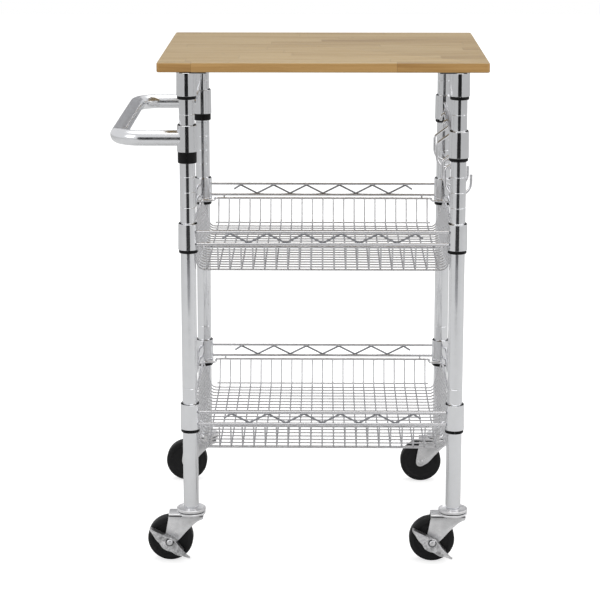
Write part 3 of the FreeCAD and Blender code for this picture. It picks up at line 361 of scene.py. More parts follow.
def finish_of(name):
    """The material of that name, made the first time that it is asked for."""
    if name in FINISHES:
        return FINISHES[name]
    scene = bpy.context.scene
    sizes, tones = scene.cart_sizes, scene.cart_finishes
    makers = {
        # tube is drawn lengthwise, so its ripples are long along the post
        "post": lambda: chrome_plate("Chrome-plated tube", tones.chrome, 0.09, (1.0, 1.0, 0.12)),
        "handle": lambda: chrome_plate("Chrome-plated bent tube", tones.chrome, 0.19,
                                       (1.0, 0.15, 1.0)),
        "collar": lambda: chrome_plate("Chrome-plated collar", tones.chrome, 0.08),
        "wire": lambda: chrome_plate("Chrome-plated welded wire", tones.wire, 0.16),
        # the zigzag wire is the same plated wire as the rails; its darker grey base is painted shade
        "zigzag": lambda: chrome_plate("Chrome-plated zigzag wire with painted shade", linear("#A4A5A9"), 0.3),
        "mesh": lambda: chrome_plate("Chrome-plated tray wire",
                                     tuple(c * 0.76 for c in tones.wire), 0.3),
        "hook": lambda: chrome_plate("Chrome-plated bent wire", tones.wire, 0.14),
        "zinc": lambda: zinc_plate("Zinc-plated pressed steel", tones.zinc),
        # the lever is pressed from thin strip, and its face is left wavy
        "lever": lambda: zinc_plate("Zinc-plated stamped strip", tones.zinc, 0.9, 4.0, 0.5),
        "rivet": lambda: zinc_plate("Zinc-plated rivet", tuple(c * 0.9 for c in tones.zinc)),
        "sleeve": lambda: moulded("Moulded black sleeve", tones.sleeve, 0.42, 0.6,
                                  linear("#161617"), 0.16),
        "wheel": lambda: moulded("Moulded black wheel", tones.wheel, 0.48, 0.9,
                                 linear("#222223"), 0.24),
        "bush": lambda: moulded("Moulded grey bush", linear("#5A5A58"), 0.5, 0.5,
                                linear("#6C6B69"), 0.4),
        "wood": lambda: lacquered_staves("Lacquered glued staves", sizes, tones),
    }
    FINISHES[name] = makers[name]()
    return FINISHES[name]


# ------------------------------------------------------------ mesh building

def placed(name, data):
    """A mesh, lamp or camera as an object in the scene."""
    made = bpy.data.objects.new(name, data)
    bpy.context.scene.collection.objects.link(made)
    return made


def object_from(name, verts, faces=(), edges=()):
    mesh = bpy.data.meshes.new(name)
    mesh.from_pydata([tuple(v) for v in verts], list(edges), list(faces))
    return placed(name, mesh)


def in_mm(*pairs):
    return [(a * MM, b * MM) for a, b in pairs]


def taken(shape):
    """The vertices and faces of a bmesh, which is then freed."""
    shape.verts.index_update()
    verts = [v.co.copy() for v in shape.verts]
    faces = [tuple(v.index for v in f.verts) for f in shape.faces]
    shape.free()
    return verts, faces


def thickened(shape, outline, along):
    """Fills an outline in a bmesh and gives it a thickness."""
    front = shape.faces.new([shape.verts.new(spot) for spot in outline])
    extruded = bmesh.ops.extrude_face_region(shape, geom=[front])
    moved = [v for v in extruded["geom"] if isinstance(v, bmesh.types.BMVert)]
    bmesh.ops.translate(shape, verts=moved, vec=along)


def rounded(shape, edges, radius, segments):
    bmesh.ops.bevel(shape, geom=edges, offset=radius, segments=segments, profile=0.5,
                    affect="EDGES")


def soften(piece, sharp=35.0):
    """Outward faces, smooth shading, and hard edges only where faces really turn."""
    shape = bmesh.new()
    shape.from_mesh(piece.data)
    bmesh.ops.remove_doubles(shape, verts=shape.verts, dist=1e-6)
    bmesh.ops.recalc_face_normals(shape, faces=shape.faces)
    for face in shape.faces:
        face.smooth = True
    for edge in shape.edges:
        edge.smooth = len(edge.link_faces) == 2 and edge.calc_face_angle(0) < math.radians(sharp)
    shape.to_mesh(piece.data)
    shape.free()
    return piece


def turned(profile, centre=(0, 0, 0), axis="Z", sides=48):
    """Vertices and faces of a shape turned on an axis from a closed (radius, height) outline."""
    verts, faces, rows = [], [], []
    for radius, height in profile:
        if radius < 1e-7:
            rows.append([len(verts)] * sides)
            verts.append((0, 0, height))
            continue
        rows.append(list(range(len(verts), len(verts) + sides)))
        for i in range(sides):
            angle = 2 * math.pi * i / sides
            verts.append((radius * math.cos(angle), radius * math.sin(angle), height))
    for a, b in zip(rows, rows[1:] + rows[:1]):
        for i in range(sides):
            j = (i + 1) % sides
            corners = list(dict.fromkeys((a[i], a[j], b[j], b[i])))
            if len(corners) > 2:
                faces.append(tuple(corners))
    turn = {"Z": Matrix.Identity(3), "Y": Matrix.Rotation(math.radians(-90), 3, "X")}[axis]
    return [turn @ Vector(v) + Vector(centre) for v in verts], faces


def joined(*shapes):
    """Several (vertices, faces) as one."""
    verts, faces = [], []
    for more_verts, more_faces in shapes:
        start = len(verts)
        verts += list(more_verts)
        faces += [tuple(start + i for i in face) for face in more_faces]
    return verts, faces


def eased(points, steps=4):
    """A closed outline that passes smoothly through its points."""
    out = []
    count = len(points)
    for i in range(count):
        p0, p1, p2, p3 = (Vector((*points[(i + k - 1) % count][:2], 0)) for k in range(4))
        for step in range(steps):
            t = step / steps
            spot = 0.5 * (2 * p1 + (p2 - p0) * t + (2 * p0 - 5 * p1 + 4 * p2 - p3) * t * t
                          + (3 * p1 - p0 - 3 * p2 + p3) * t ** 3)
            out.append((spot.x, spot.y))
    return out


def plate(outline, thick, edge, centre, lean=0.0):
    """A flat pressed plate with rounded edges; its outline is in X and Z, its thickness in +Y."""
    shape = bmesh.new()
    thickened(shape, [(x, 0, z) for x, z in outline], (0, thick, 0))
    rims = [e for e in shape.edges if abs(e.verts[0].co.y - e.verts[1].co.y) < thick / 2]
    rounded(shape, rims, edge, 2)
    turn = Matrix.Rotation(math.radians(lean), 3, "Y")
    verts, faces = taken(shape)
    return [turn @ v + Vector(centre) for v in verts], faces


def dress(piece, finish):
    piece.data.materials.clear()
    piece.data.materials.append(finish_of(finish))


def show(piece, body, finish, slot, *nodes):
    """Give a finished piece its material, its body and the nodes it stands for; the slot argument is
    not used.
    """
    dress(piece, finish)
    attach(piece, body)
    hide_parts(*nodes)


# ------------------------------------------------------------ geometry nodes

def new_tree(name, inputs):
    """A tree that takes and gives a geometry; an input is its name, kind, and any value and low."""
    tree = bpy.data.node_groups.new(name, "GeometryNodeTree")
    for way in ("INPUT", "OUTPUT"):
        tree.interface.new_socket(name="Geometry", in_out=way, socket_type="NodeSocketGeometry")
    for label, kind, *limits in inputs:
        made = tree.interface.new_socket(name=label, in_out="INPUT", socket_type=kind)
        if limits:
            made.default_value, made.min_value = limits
    return tree, add(tree, "NodeGroupInput").outputs


def end_tree(tree, copies, given):
    """Makes the copies real and gives them the material."""
    real = add(tree, "GeometryNodeRealizeInstances", {"Geometry": copies.outputs[0]})
    coated = add(tree, "GeometryNodeSetMaterial", {"Geometry": real.outputs[0],
                                                   "Material": given["Material"]})
    add(tree, "NodeGroupOutput", {"Geometry": coated.outputs[0]})
    return tree


def wire_tree():
    """Sweeps a round wire along paths of straight runs, and repeats it in a row.

    Each point's "bend" attribute is the radius of the bend there."""
    tree, given = new_tree("Bent wire", (
        ("Wire radius", "NodeSocketFloat", 0.001, 0.0), ("Sides", "NodeSocketInt", 12, 3),
        ("Bend steps", "NodeSocketInt", 5, 1), ("Count", "NodeSocketInt", 1, 1),
        ("Pitch", "NodeSocketVector"), ("Material", "NodeSocketMaterial")))
    path = add(tree, "GeometryNodeMeshToCurve", {"Mesh": given["Geometry"]})
    bend = add(tree, "GeometryNodeInputNamedAttribute", {"Name": "bend"}, data_type="FLOAT")
    rounded = add(tree, "GeometryNodeFilletCurve",
                  {"Curve": path.outputs[0], "Radius": bend.outputs[0],
                   "Count": given["Bend steps"], "Limit Radius": True}, mode="POLY")
    ring = add(tree, "GeometryNodeCurvePrimitiveCircle", {"Resolution": given["Sides"],
                                                          "Radius": given["Wire radius"]})
    swept = add(tree, "GeometryNodeCurveToMesh", {"Curve": rounded.outputs[0],
                                                  "Profile Curve": ring.outputs[0],
                                                  "Fill Caps": True})
    smooth = add(tree, "GeometryNodeSetShadeSmooth", {"Geometry": swept.outputs[0]})
    fold = add(tree, "GeometryNodeInputMeshEdgeAngle")
    hard = add(tree, "FunctionNodeCompare", {"A": fold.outputs[0], "B": 0.9},
               operation="GREATER_THAN")
    crisp = add(tree, "GeometryNodeSetShadeSmooth", {"Geometry": smooth.outputs[0],
                                                     "Selection": hard.outputs[0],
                                                     "Shade Smooth": False}, domain="EDGE")
    row = add(tree, "GeometryNodeMeshLine", {"Count": given["Count"], "Offset": given["Pitch"]})
    copies = add(tree, "GeometryNodeInstanceOnPoints", {"Points": row.outputs[0],
                                                        "Instance": crisp.outputs[0]})
    return end_tree(tree, copies, given)


def copies_tree():
    """Stands a copy of one piece on every point, turned by the point's "turn" attribute."""
    tree, given = new_tree("Copies on points", (("Piece", "NodeSocketObject"),
                                                ("Material", "NodeSocketMaterial")))
    piece = add(tree, "GeometryNodeObjectInfo", {"Object": given["Piece"], "As Instance": True})
    turn = add(tree, "GeometryNodeInputNamedAttribute", {"Name": "turn"}, data_type="FLOAT")
    about = add(tree, "ShaderNodeCombineXYZ", {"Z": turn.outputs[0]})
    copies = add(tree, "GeometryNodeInstanceOnPoints",
                 {"Points": given["Geometry"], "Instance": piece.outputs["Geometry"],
                  "Rotation": about.outputs[0]})
    return end_tree(tree, copies, given)


def tree_named(name, maker):
    return bpy.data.node_groups.get(name) or maker()


def grown(name, base, tree, values):
    """Runs a node tree on a base object and keeps the result as a plain mesh."""
    modifier = base.modifiers.new("Build", "NODES")
    modifier.node_group = tree
    idents = {item.name: item.identifier for item in tree.interface.items_tree
              if item.item_type == "SOCKET" and item.in_out == "INPUT"}
    for key, value in values.items():
        modifier[idents[key]] = value
    view = bpy.context.evaluated_depsgraph_get()
    view.update()
    mesh = bpy.data.meshes.new_from_object(base.evaluated_get(view))
    mesh.name = name
    made = placed(name, mesh)
    bpy.data.objects.remove(base)
    if not mesh.polygons:
        raise RuntimeError(f"{name} came out empty")
    return made


def bent_wires(name, paths, dia, finish, sides=12, steps=5, count=1, pitch=(0, 0, 0)):
    """Round wires through paths; a path is its (corner, bend radius) pairs and if it closes."""
    verts, edges, bends = [], [], []
    for corners, closed in paths:
        start = len(verts)
        verts += [Vector(spot) for spot, _ in corners]
        bends += [radius for _, radius in corners]
        edges += [(start + i, start + i + 1) for i in range(len(corners) - 1)]
        if closed:
            edges.append((len(verts) - 1, start))
    base = object_from(f"{name}_path", verts, edges=edges)
    base.data.attributes.new("bend", "FLOAT", "POINT").data.foreach_set("value", bends)
    values = {"Wire radius": dia / 2, "Sides": sides, "Bend steps": steps, "Count": count,
              "Pitch": Vector(pitch), "Material": finish_of(finish)}
    return grown(name, base, tree_named("Bent wire", wire_tree), values)


def copies_at(name, piece, spots, finish):
    """Copies of a piece at (place, degrees) spots, as one mesh."""
    base = object_from(f"{name}_spots", [spot for spot, _ in spots])
    turns = [math.radians(degrees) for _, degrees in spots]
    base.data.attributes.new("turn", "FLOAT", "POINT").data.foreach_set("value", turns)
    made = grown(name, base, tree_named("Copies on points", copies_tree),
                 {"Piece": piece, "Material": finish_of(finish)})
    bpy.data.objects.remove(piece)
    return made


def straight(start, end):
    return [(start, 0.0), (end, 0.0)], False


# -------------------------------------------------------------- the pieces

def make_worktop():
    """One thick board with rounded corners and eased edges."""
    corner_radius, edge_radius = 5 * MM, 1.8 * MM
    size = BOARD_HIGH - BOARD_LOW
    shape = bmesh.new()
    bmesh.ops.create_cube(shape, size=1.0)
    for vert in shape.verts:
        vert.co = Vector((vert.co.x * size.x, vert.co.y * size.y, vert.co.z * size.z))
        vert.co += (BOARD_LOW + BOARD_HIGH) / 2
    corners = [e for e in shape.edges if abs(e.verts[0].co.z - e.verts[1].co.z) > size.z / 2]
    rounded(shape, corners, corner_radius, 6)
    rims = [e for e in shape.edges if abs(e.verts[0].co.z - e.verts[1].co.z) < 1e-6
            and e.calc_face_angle(0) > 1.0]
    rounded(shape, rims, edge_radius, 4)
    board = object_from("worktop_board", *taken(shape))
    show(soften(board, 30.0), "cart", "wood", "worktop_wood", "worktop")


def collar_shell(height, top_extra=0.0):
    """The thin wall of a tapered collar with rolled lips."""
    foot, crown, wall, lip = 16.5 * MM, 16.0 * MM, 1.0 * MM, 0.35 * MM
    top = height + top_extra
    return [(foot - lip, 0), (foot, lip), (crown, top - lip), (crown - lip, top),
            (crown - wall + lip, top), (crown - wall, top - lip), (foot - wall, lip),
            (foot - wall + lip, 0)]


# how far each corner's plate is turned, so that it reaches in under the board
TURNS = {"front_left": 0.0, "front_right": 90.0, "back_left": -90.0, "back_right": 180.0}
PLATE_THICK = 1.6 * MM


def socket_plate(under):
    """The flat plate on a socket, with one corner cut off, reaching in under the board."""
    outer, reach, cut = -13.5 * MM, 35 * MM, 8 * MM
    outline = [(outer, outer), (reach, outer), (reach, reach - cut), (reach - cut, reach),
               (outer, reach)]
    shape = bmesh.new()
    thickened(shape, [(x, y, under) for x, y in outline], (0, 0, PLATE_THICK))
    uprights = [e for e in shape.edges if abs(e.verts[0].co.z - e.verts[1].co.z) > MM]
    rounded(shape, uprights, 3 * MM, 4)
    return taken(shape)


def make_sockets():
    """The four collars under the board, each with its plate."""
    low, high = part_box("worktop_sockets")
    under = high.z - low.z - PLATE_THICK
    shell = turned(collar_shell(under, 0.5 * MM), sides=56)
    master = soften(object_from("socket_master", *joined(shell, socket_plate(under))))
    spots = [(POSTS[c] + Vector((0, 0, low.z)), TURNS[c]) for c in CORNERS]
    sockets = copies_at("sockets", master, spots, "collar")
    show(sockets, "cart", "collar", "chrome_socket", "worktop_sockets")


def make_screws():
    """Pan-head screws with a round recess, three under each plate."""
    profile = in_mm((0.0, -2.6), (0.9, -2.6), (1.0, -3.7), (2.6, -3.5), (3.75, -2.2),
                    (3.75, -1.6), (2.0, -1.6), (2.0, 8.5), (0.0, 10.7))
    master = soften(object_from("screw_master", *turned(profile, sides=20)))
    reach = 26 * MM
    spots = []
    for corner in CORNERS:
        right = 1 if corner.endswith("left") else -1
        back = 1 if corner.startswith("front") else -1
        for a, b in ((1, 0), (1, 1), (0, 1)):
            place = POSTS[corner] + Vector((right * a * reach, back * b * reach, BOARD_LOW.z))
            # no two screws stop at the same turn
            spots.append((place, 37.0 * len(spots)))
    screws = copies_at("plate_screws", master, spots, "rivet")
    show(screws, "cart", "rivet", "screw_steel", "worktop_screws")


def make_posts():
    """Four tubes with rolled grooves, where the split sleeves' beads lock."""
    sizes = bpy.context.scene.cart_sizes
    radius, half, depth = sizes.post_dia / 2, sizes.groove_width / 2, sizes.groove_depth
    first_groove, wall, ease, shoulder = 157 * MM, 1.2 * MM, 0.3 * MM, 0.5 * MM
    # three grooves for the lower basket, then none up to those for the upper one and the rest
    grooves = (*range(3), *range(12, 23))
    for corner in CORNERS:
        low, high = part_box(f"post_{corner}")
        profile = [(radius - wall, low.z), (radius - ease, low.z), (radius, low.z + ease)]
        for number in grooves:
            z = low.z + first_groove + number * sizes.groove_pitch
            profile += [(radius, z - half - shoulder), (radius, z - half),
                        (radius - depth, z - half * 0.4), (radius - depth, z + half * 0.4),
                        (radius, z + half), (radius, z + half + shoulder)]
        profile += [(radius, high.z - ease), (radius - ease, high.z), (radius - wall, high.z)]
        post = object_from(f"grooved_post_{corner}",
                           *turned(profile, centre=POSTS[corner], sides=64))
        show(soften(post, 40.0), "cart", "post", "post_chrome", f"post_{corner}")
    dress(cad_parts["post_inserts"], "sleeve")


def half_sleeve(height, below):
    """One half of a split sleeve, with a skirt below the collar and a lip, and its top tab."""
    bore, skirt, rim, lip, ears = 12.75 * MM, 15.45 * MM, 14.95 * MM, 0.4 * MM, 1.8 * MM
    top = height - 0.3 * MM
    outline = [(bore, -below + lip), (bore + lip, -below), (skirt - 0.7 * MM, -below),
               (skirt - 0.2 * MM, -below + 0.5 * MM), (skirt, -below + 1.3 * MM), (skirt, 0.0),
               (rim, top), (bore, top)]
    tab = [(bore, top - MM), (rim, top - MM), (rim, top + ears - lip), (rim - lip, top + ears),
           (bore, top + ears)]
    return arc_block(outline, 178.6, 28), arc_block(tab, 50.0, 8)


def arc_block(outline, degrees, steps):
    """An outline of (radius, height) swept through an arc that is centred on +X."""
    verts, faces = [], []
    count = len(outline)
    for step in range(steps + 1):
        angle = math.radians(degrees) * (step / steps - 0.5)
        verts += [(r * math.cos(angle), r * math.sin(angle), z) for r, z in outline]
    for step in range(steps):
        a, b = step * count, (step + 1) * count
        faces += [(a + i, a + (i + 1) % count, b + (i + 1) % count, b + i) for i in range(count)]
    faces += [tuple(range(count)), tuple(range(steps * count, (steps + 1) * count))]
    return verts, faces


def make_sleeves(name, node, shape, corners, foot):
    """Both halves of the split sleeve on each of the posts named."""
    master = soften(object_from(f"{name}_master", *shape))
    spots = [(POSTS[c] + Vector((0, 0, foot)), turn) for c in corners for turn in (0.0, 180.0)]
    sleeves = copies_at(name, master, spots, "sleeve")
    show(sleeves, "cart", "sleeve", "sleeve_plastic", node)


def make_clamps():
    """Collars on their split sleeves, for both baskets, the handle, the rack and the sockets."""
    places = {"upper": CORNERS, "lower": CORNERS, "rack": ("front_right", "back_right"),
              "handle": ("front_left", "back_left")}
    boxes = {group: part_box(f"{group}_collars") for group in places}
    for group, corners in places.items():
        low, high = boxes[group]
        master = soften(object_from(f"{group}_collar_master",
                                    *turned(collar_shell(high.z - low.z), sides=56)))
        spots = [(POSTS[c] + Vector((0, 0, low.z)), 0.0) for c in corners]
        collars = copies_at(f"{group}_clamp_collars", master, spots, "collar")
        show(collars, "cart", "collar", "collar_chrome", f"{group}_collars")
    for group in ("upper", "lower", "rack"):
        low, high = boxes[group]
        shape = joined(*half_sleeve(high.z - low.z, SLEEVE_DROP))
        make_sleeves(f"{group}_split_sleeves", f"{group}_sleeves", shape, places[group], low.z)
    # the handle's sleeves hang further down, most of all at the front
    low, high = boxes["handle"]
    for corner, drop in (("front_left", 18.5 * MM), ("back_left", 12.0 * MM)):
        shape = joined(*half_sleeve(high.z - low.z, drop))
        make_sleeves(f"handle_split_sleeve_{corner}", "handle_sleeves", shape, (corner,), low.z)
    # a socket is shut at the top, so its sleeves have no tabs and stop short of the plate
    plate_room = 2.5 * MM
    low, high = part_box("worktop_sockets")
    shape = half_sleeve(high.z - low.z - plate_room, SLEEVE_DROP)[0]
    make_sleeves("socket_split_sleeves", "socket_sleeves", shape, CORNERS, low.z)


def rail_heights(group):
    """Centre heights of the upper and the lower rail that a set of collars carries."""
    radius = bpy.context.scene.cart_sizes.rail_dia / 2
    low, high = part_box(f"{group}_rails")
    return high.z - radius, low.z + radius


def truss_path(middle_point, along, high, low):
    """One zigzag wire between two rails, with a short tail at each end."""
    sizes = bpy.context.scene.cart_sizes
    crest = high - sizes.rail_dia / 2
    valley = low + sizes.rail_dia / 2
    level = (high + low) / 2
    # six crests and the five valleys between them
    turns, bend = 11, 2.6 * MM
    half_turns = (turns - 1) / 2
    reach = half_turns / 2 * sizes.truss_pitch + sizes.truss_tail
    corners = [(middle_point - along * reach + Vector((0, 0, level)), 0.0)]
    for turn in range(turns):
        z = valley if turn % 2 else crest
        step = along * ((turn - half_turns) / 2 * sizes.truss_pitch)
        corners.append((middle_point + step + Vector((0, 0, z)), bend))
    corners.append((middle_point + along * reach + Vector((0, 0, level)), 0.0))
    return corners, False


def frame_wires(level):
    """Two rails and a zigzag wire on each side of a basket."""
    sizes = bpy.context.scene.cart_sizes
    off, grip = 9 * MM, 14.2 * MM
    half_x, half_y = Vector((SPAN.x / 2, 0, 0)), Vector((0, SPAN.y / 2, 0))
    end_x, end_y = half_x - Vector((grip, 0, 0)), half_y - Vector((0, grip, 0))
    high, low = rail_heights(level)
    rails, trusses = [], []
    for side in (-1, 1):
        lane_y = CART + side * (half_y + Vector((0, off, 0)))
        lane_x = CART + side * (half_x + Vector((off, 0, 0)))
        for z in (high, low):
            up = Vector((0, 0, z))
            rails.append(straight(lane_y - end_x + up, lane_y + end_x + up))
            rails.append(straight(lane_x - end_y + up, lane_x + end_y + up))
        trusses.append(truss_path(lane_y, Vector((1, 0, 0)), high, low))
        trusses.append(truss_path(lane_x, Vector((0, 1, 0)), high, low))
    made = bent_wires(f"{level}_rail_wires", rails, sizes.rail_dia, "wire", sides=16)
    show(made, "cart", "wire", "wire_chrome", f"{level}_rails")
    made = bent_wires(f"{level}_zigzag_wires", trusses, sizes.truss_dia, "zigzag", sides=10)
    show(made, "cart", "zigzag", "wire_chrome", f"{level}_trusses")


def tray_rim(level):
    """The wire round the top of a tray, notched at the four posts."""
    sizes = bpy.context.scene.cart_sizes
    rim_z = middle(f"{level}_rim").z
    x_out, y_out = SPAN.x / 2 + sizes.rim_out, SPAN.y / 2 + sizes.rim_out
    x_in, y_in = SPAN.x / 2 - sizes.rim_notch, SPAN.y / 2 - sizes.rim_notch
    quarter = [(x_out, y_in), (x_in, y_in), (x_in, y_out)]
    ring = quarter + [(-x, y) for x, y in reversed(quarter)]
    ring += [(-x, -y) for x, y in quarter] + [(x, -y) for x, y in reversed(quarter)]
    path = [(CART + Vector((x, y, rim_z)), 6 * MM) for x, y in ring]
    made = bent_wires(f"{level}_tray_rim", [(path, True)], sizes.rim_dia, "wire", sides=14)
    show(made, "cart", "wire", "wire_chrome", f"{level}_rim")


def rim_links(level):
    """Short wires from the rim out to the lower rails, two on each side.

    Each stands near a corner, midway between two tray wires."""
    sizes = bpy.context.scene.cart_sizes
    reach = 8.5 * MM
    x_start, y_start = (span / 2 + sizes.rim_out - MM for span in SPAN[:2])
    tie_z = middle(f"{level}_ties").z
    links = []
    for side in (-1, 1):
        for other in (-1, 1):
            x, y = CART.x + other * 9.5 * sizes.mesh_pitch, CART.y + side * y_start
            links.append(straight(Vector((x, y, tie_z)), Vector((x, y + side * reach, tie_z))))
            x, y = CART.x + side * x_start, CART.y + other * 9 * sizes.mesh_pitch
            links.append(straight(Vector((x, y, tie_z)), Vector((x + side * reach, y, tie_z))))
    made = bent_wires(f"{level}_rim_links", links, sizes.tie_dia, "wire", sides=10)
    show(made, "cart", "wire", "wire_chrome", f"{level}_ties")


def make_basket_frames():
    for level in LEVELS:
        frame_wires(level)
        tray_rim(level)
        rim_links(level)


def tray_path(along, half_rim, across_start, rim_z, depth):
    """One tray wire: down one wall, over the floor and up the other wall."""
    sizes = bpy.context.scene.cart_sizes
    top = half_rim - sizes.rim_dia / 2 - sizes.mesh_dia / 2 + 0.3 * MM
    floor = top - sizes.wall_slope
    start = CART + across_start
    up, down = Vector((0, 0, rim_z)), Vector((0, 0, rim_z - depth))
    return [(start - along * top + up, 0.0), (start - along * floor + down, sizes.mesh_bend),
            (start + along * floor + down, sizes.mesh_bend), (start + along * top + up, 0.0)]


def make_trays():
    """Both trays: wires from front to back, wires from side to side, and two edge wires."""
    sizes = bpy.context.scene.cart_sizes
    pitch, dia = sizes.mesh_pitch, sizes.mesh_dia
    cross_count, long_count = 21, 20
    half_x, half_y = SPAN.x / 2 + sizes.rim_out, SPAN.y / 2 + sizes.rim_out
    first_x = Vector((-(cross_count - 1) / 2 * pitch, 0, 0))
    first_y = Vector((0, -(long_count - 1) / 2 * pitch, 0))
    # the long wires pass under the cross wires, and are welded to them
    under = sizes.wall_height + dia - 0.3 * MM
    for level in LEVELS:
        rim_z = middle(f"{level}_rim").z
        path = tray_path(Vector((0, 1, 0)), half_y, first_x, rim_z, sizes.wall_height)
        made = bent_wires(f"{level}_tray_cross_wires", [(path, False)], dia, "mesh", sides=10,
                          count=cross_count, pitch=(pitch, 0, 0))
        show(made, "cart", "mesh", "mesh_chrome", f"{level}_cross_wires")
        path = tray_path(Vector((1, 0, 0)), half_x, first_y, rim_z, under)
        made = bent_wires(f"{level}_tray_long_wires", [(path, False)], dia, "mesh", sides=10,
                          count=long_count, pitch=(0, pitch, 0))
        show(made, "cart", "mesh", "mesh_chrome", f"{level}_long_wires")
        # the two outermost rows lie straight in the bend of the walls
        low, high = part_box(f"{level}_long_wires")
        reach = half_x - sizes.rim_dia / 2 - dia / 2 - sizes.wall_slope - 7.5 * MM
        z = rim_z - sizes.wall_height + MM
        rows = [straight(Vector((CART.x - reach, y, z)), Vector((CART.x + reach, y, z)))
                for y in (low.y + dia / 2, high.y - dia / 2)]
        made = bent_wires(f"{level}_tray_edge_wires", rows, dia, "mesh", sides=10)
        show(made, "cart", "mesh", "mesh_chrome", f"{level}_long_wires")


def make_handle():
    """One tube bent twice, from the front left post round to the back left one."""
    sizes = bpy.context.scene.cart_sizes
    low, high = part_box("handle_tube")
    z = (low.z + high.z) / 2
    grip_x = low.x + sizes.handle_dia / 2
    front, back = POSTS["front_left"], POSTS["back_left"]
    # the tube's ends are welded on inside the collars' outline
    end_x = front.x - 8 * MM
    path = [(Vector((end_x, front.y, z)), 0.0), (Vector((grip_x, front.y, z)), sizes.handle_bend),
            (Vector((grip_x, back.y, z)), sizes.handle_bend), (Vector((end_x, back.y, z)), 0.0)]
    made = bent_wires("push_handle", [(path, False)], sizes.handle_dia, "handle", sides=48,
                      steps=16)
    show(made, "cart", "handle", "handle_chrome", "handle_tube")


def make_rack():
    """Two rails and a zigzag wire between the right-hand posts."""
    sizes = bpy.context.scene.cart_sizes
    high, low = rail_heights("rack")
    front, back = POSTS["front_right"], POSTS["back_right"]
    grip = Vector((0, 15.5 * MM, 0))
    rails = [straight(front + grip + Vector((0, 0, z)), back - grip + Vector((0, 0, z)))
             for z in (high, low)]
    made = bent_wires("rack_rail_wires", rails, sizes.rail_dia, "wire", sides=16)
    show(made, "cart", "wire", "wire_chrome", "rack_rails")
    truss = truss_path((front + back) / 2, Vector((0, 1, 0)), high, low)
    made = bent_wires("rack_zigzag_wire", [truss], sizes.truss_dia, "zigzag", sides=10)
    show(made, "cart", "zigzag", "wire_chrome", "rack_truss")


def make_hooks():
    """Four loose hooks: a small eye over the rack's lower rail and a wide bowl below it."""
    sizes = bpy.context.scene.cart_sizes
    low = rail_heights("rack")[1]
    lane_x = POSTS["front_right"].x
    radius = sizes.hook_dia / 2
    eye, play, tip = 8 * MM, 0.4 * MM, 34.5 * MM
    crown = sizes.rail_dia / 2 + play + radius
    for number in (1, 2, 3, 4):
        box_low, box_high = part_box(f"hook_{number}")
        y = (box_low.y + box_high.y) / 2
        left, right = box_low.x + radius - lane_x, box_high.x - radius - lane_x
        bottom = box_low.z + radius - low
        # each bend leaves a little straight wire beside it
        swell = (right - left) / 2 - 0.1 * MM
        tight = eye - 0.1 * MM
        spots = [((-eye, -eye), 0.0), ((-eye, crown), tight), ((eye, crown), tight),
                 ((eye, -2 * eye), tight), ((left, -4.5 * eye), tight), ((left, bottom), swell),
                 ((right, bottom), swell), ((right, bottom + tip), 0.0)]
        path = [(Vector((lane_x + x, y, low + z)), bend) for (x, z), bend in spots]
        made = bent_wires(f"loose_hook_{number}", [(path, False)], sizes.hook_dia, "hook",
                          sides=16, steps=10)
        show(made, f"hook_{number}_body", "hook", "hook_chrome", f"hook_{number}")


def make_caster_heads():
    """The dished upper races, with the stems and balls that they hide."""
    low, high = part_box("caster_races")
    foot, top, bore, edge = low.z, high.z, 5.0 * MM, 24.3 * MM
    dish = [(bore, foot), (edge - 3.0 * MM, foot), (edge - 1.0 * MM, foot + 0.9 * MM),
            (edge, foot + 2.4 * MM), (edge, top - 0.7 * MM), (edge - 0.7 * MM, top),
            (edge - 1.5 * MM, top), (edge - 2.2 * MM, top - 0.8 * MM),
            (edge - 3.4 * MM, foot + 2.8 * MM), (edge - 6.0 * MM, foot + 2.0 * MM),
            (bore, foot + 2.0 * MM)]
    master = soften(object_from("race_master", *turned(dish, sides=56)))
    races = copies_at("dished_races", master, [(POSTS[c], 0.0) for c in CORNERS], "zinc")
    show(races, "cart", "zinc", "caster_zinc", "caster_races")
    dress(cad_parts["caster_stems"], "zinc")
    dress(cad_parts["caster_balls"], "rivet")


def fork_roof(post, crown_top, crown_foot):
    """The fork's top plate, which bends down into both legs."""
    back, long, tall = 8.2, 58.2, 4.6
    middle_z = (crown_top - 1.2 * MM + crown_foot - 1.5 * MM) / 2
    shape = bmesh.new()
    bmesh.ops.create_cube(shape, size=1.0)
    for vert in shape.verts:
        vert.co.x = post.x + (vert.co.x * long - back) * MM
        vert.co.y = post.y + vert.co.y * 2 * FORK_HALF
        vert.co.z = middle_z + vert.co.z * tall * MM
    long_edges = [e for e in shape.edges
                  if abs(e.verts[0].co.x - e.verts[1].co.x) > 10 * MM
                  and min(v.co.z for v in e.verts) > crown_foot]
    rounded(shape, long_edges, 2.4 * MM, 5)
    return taken(shape)


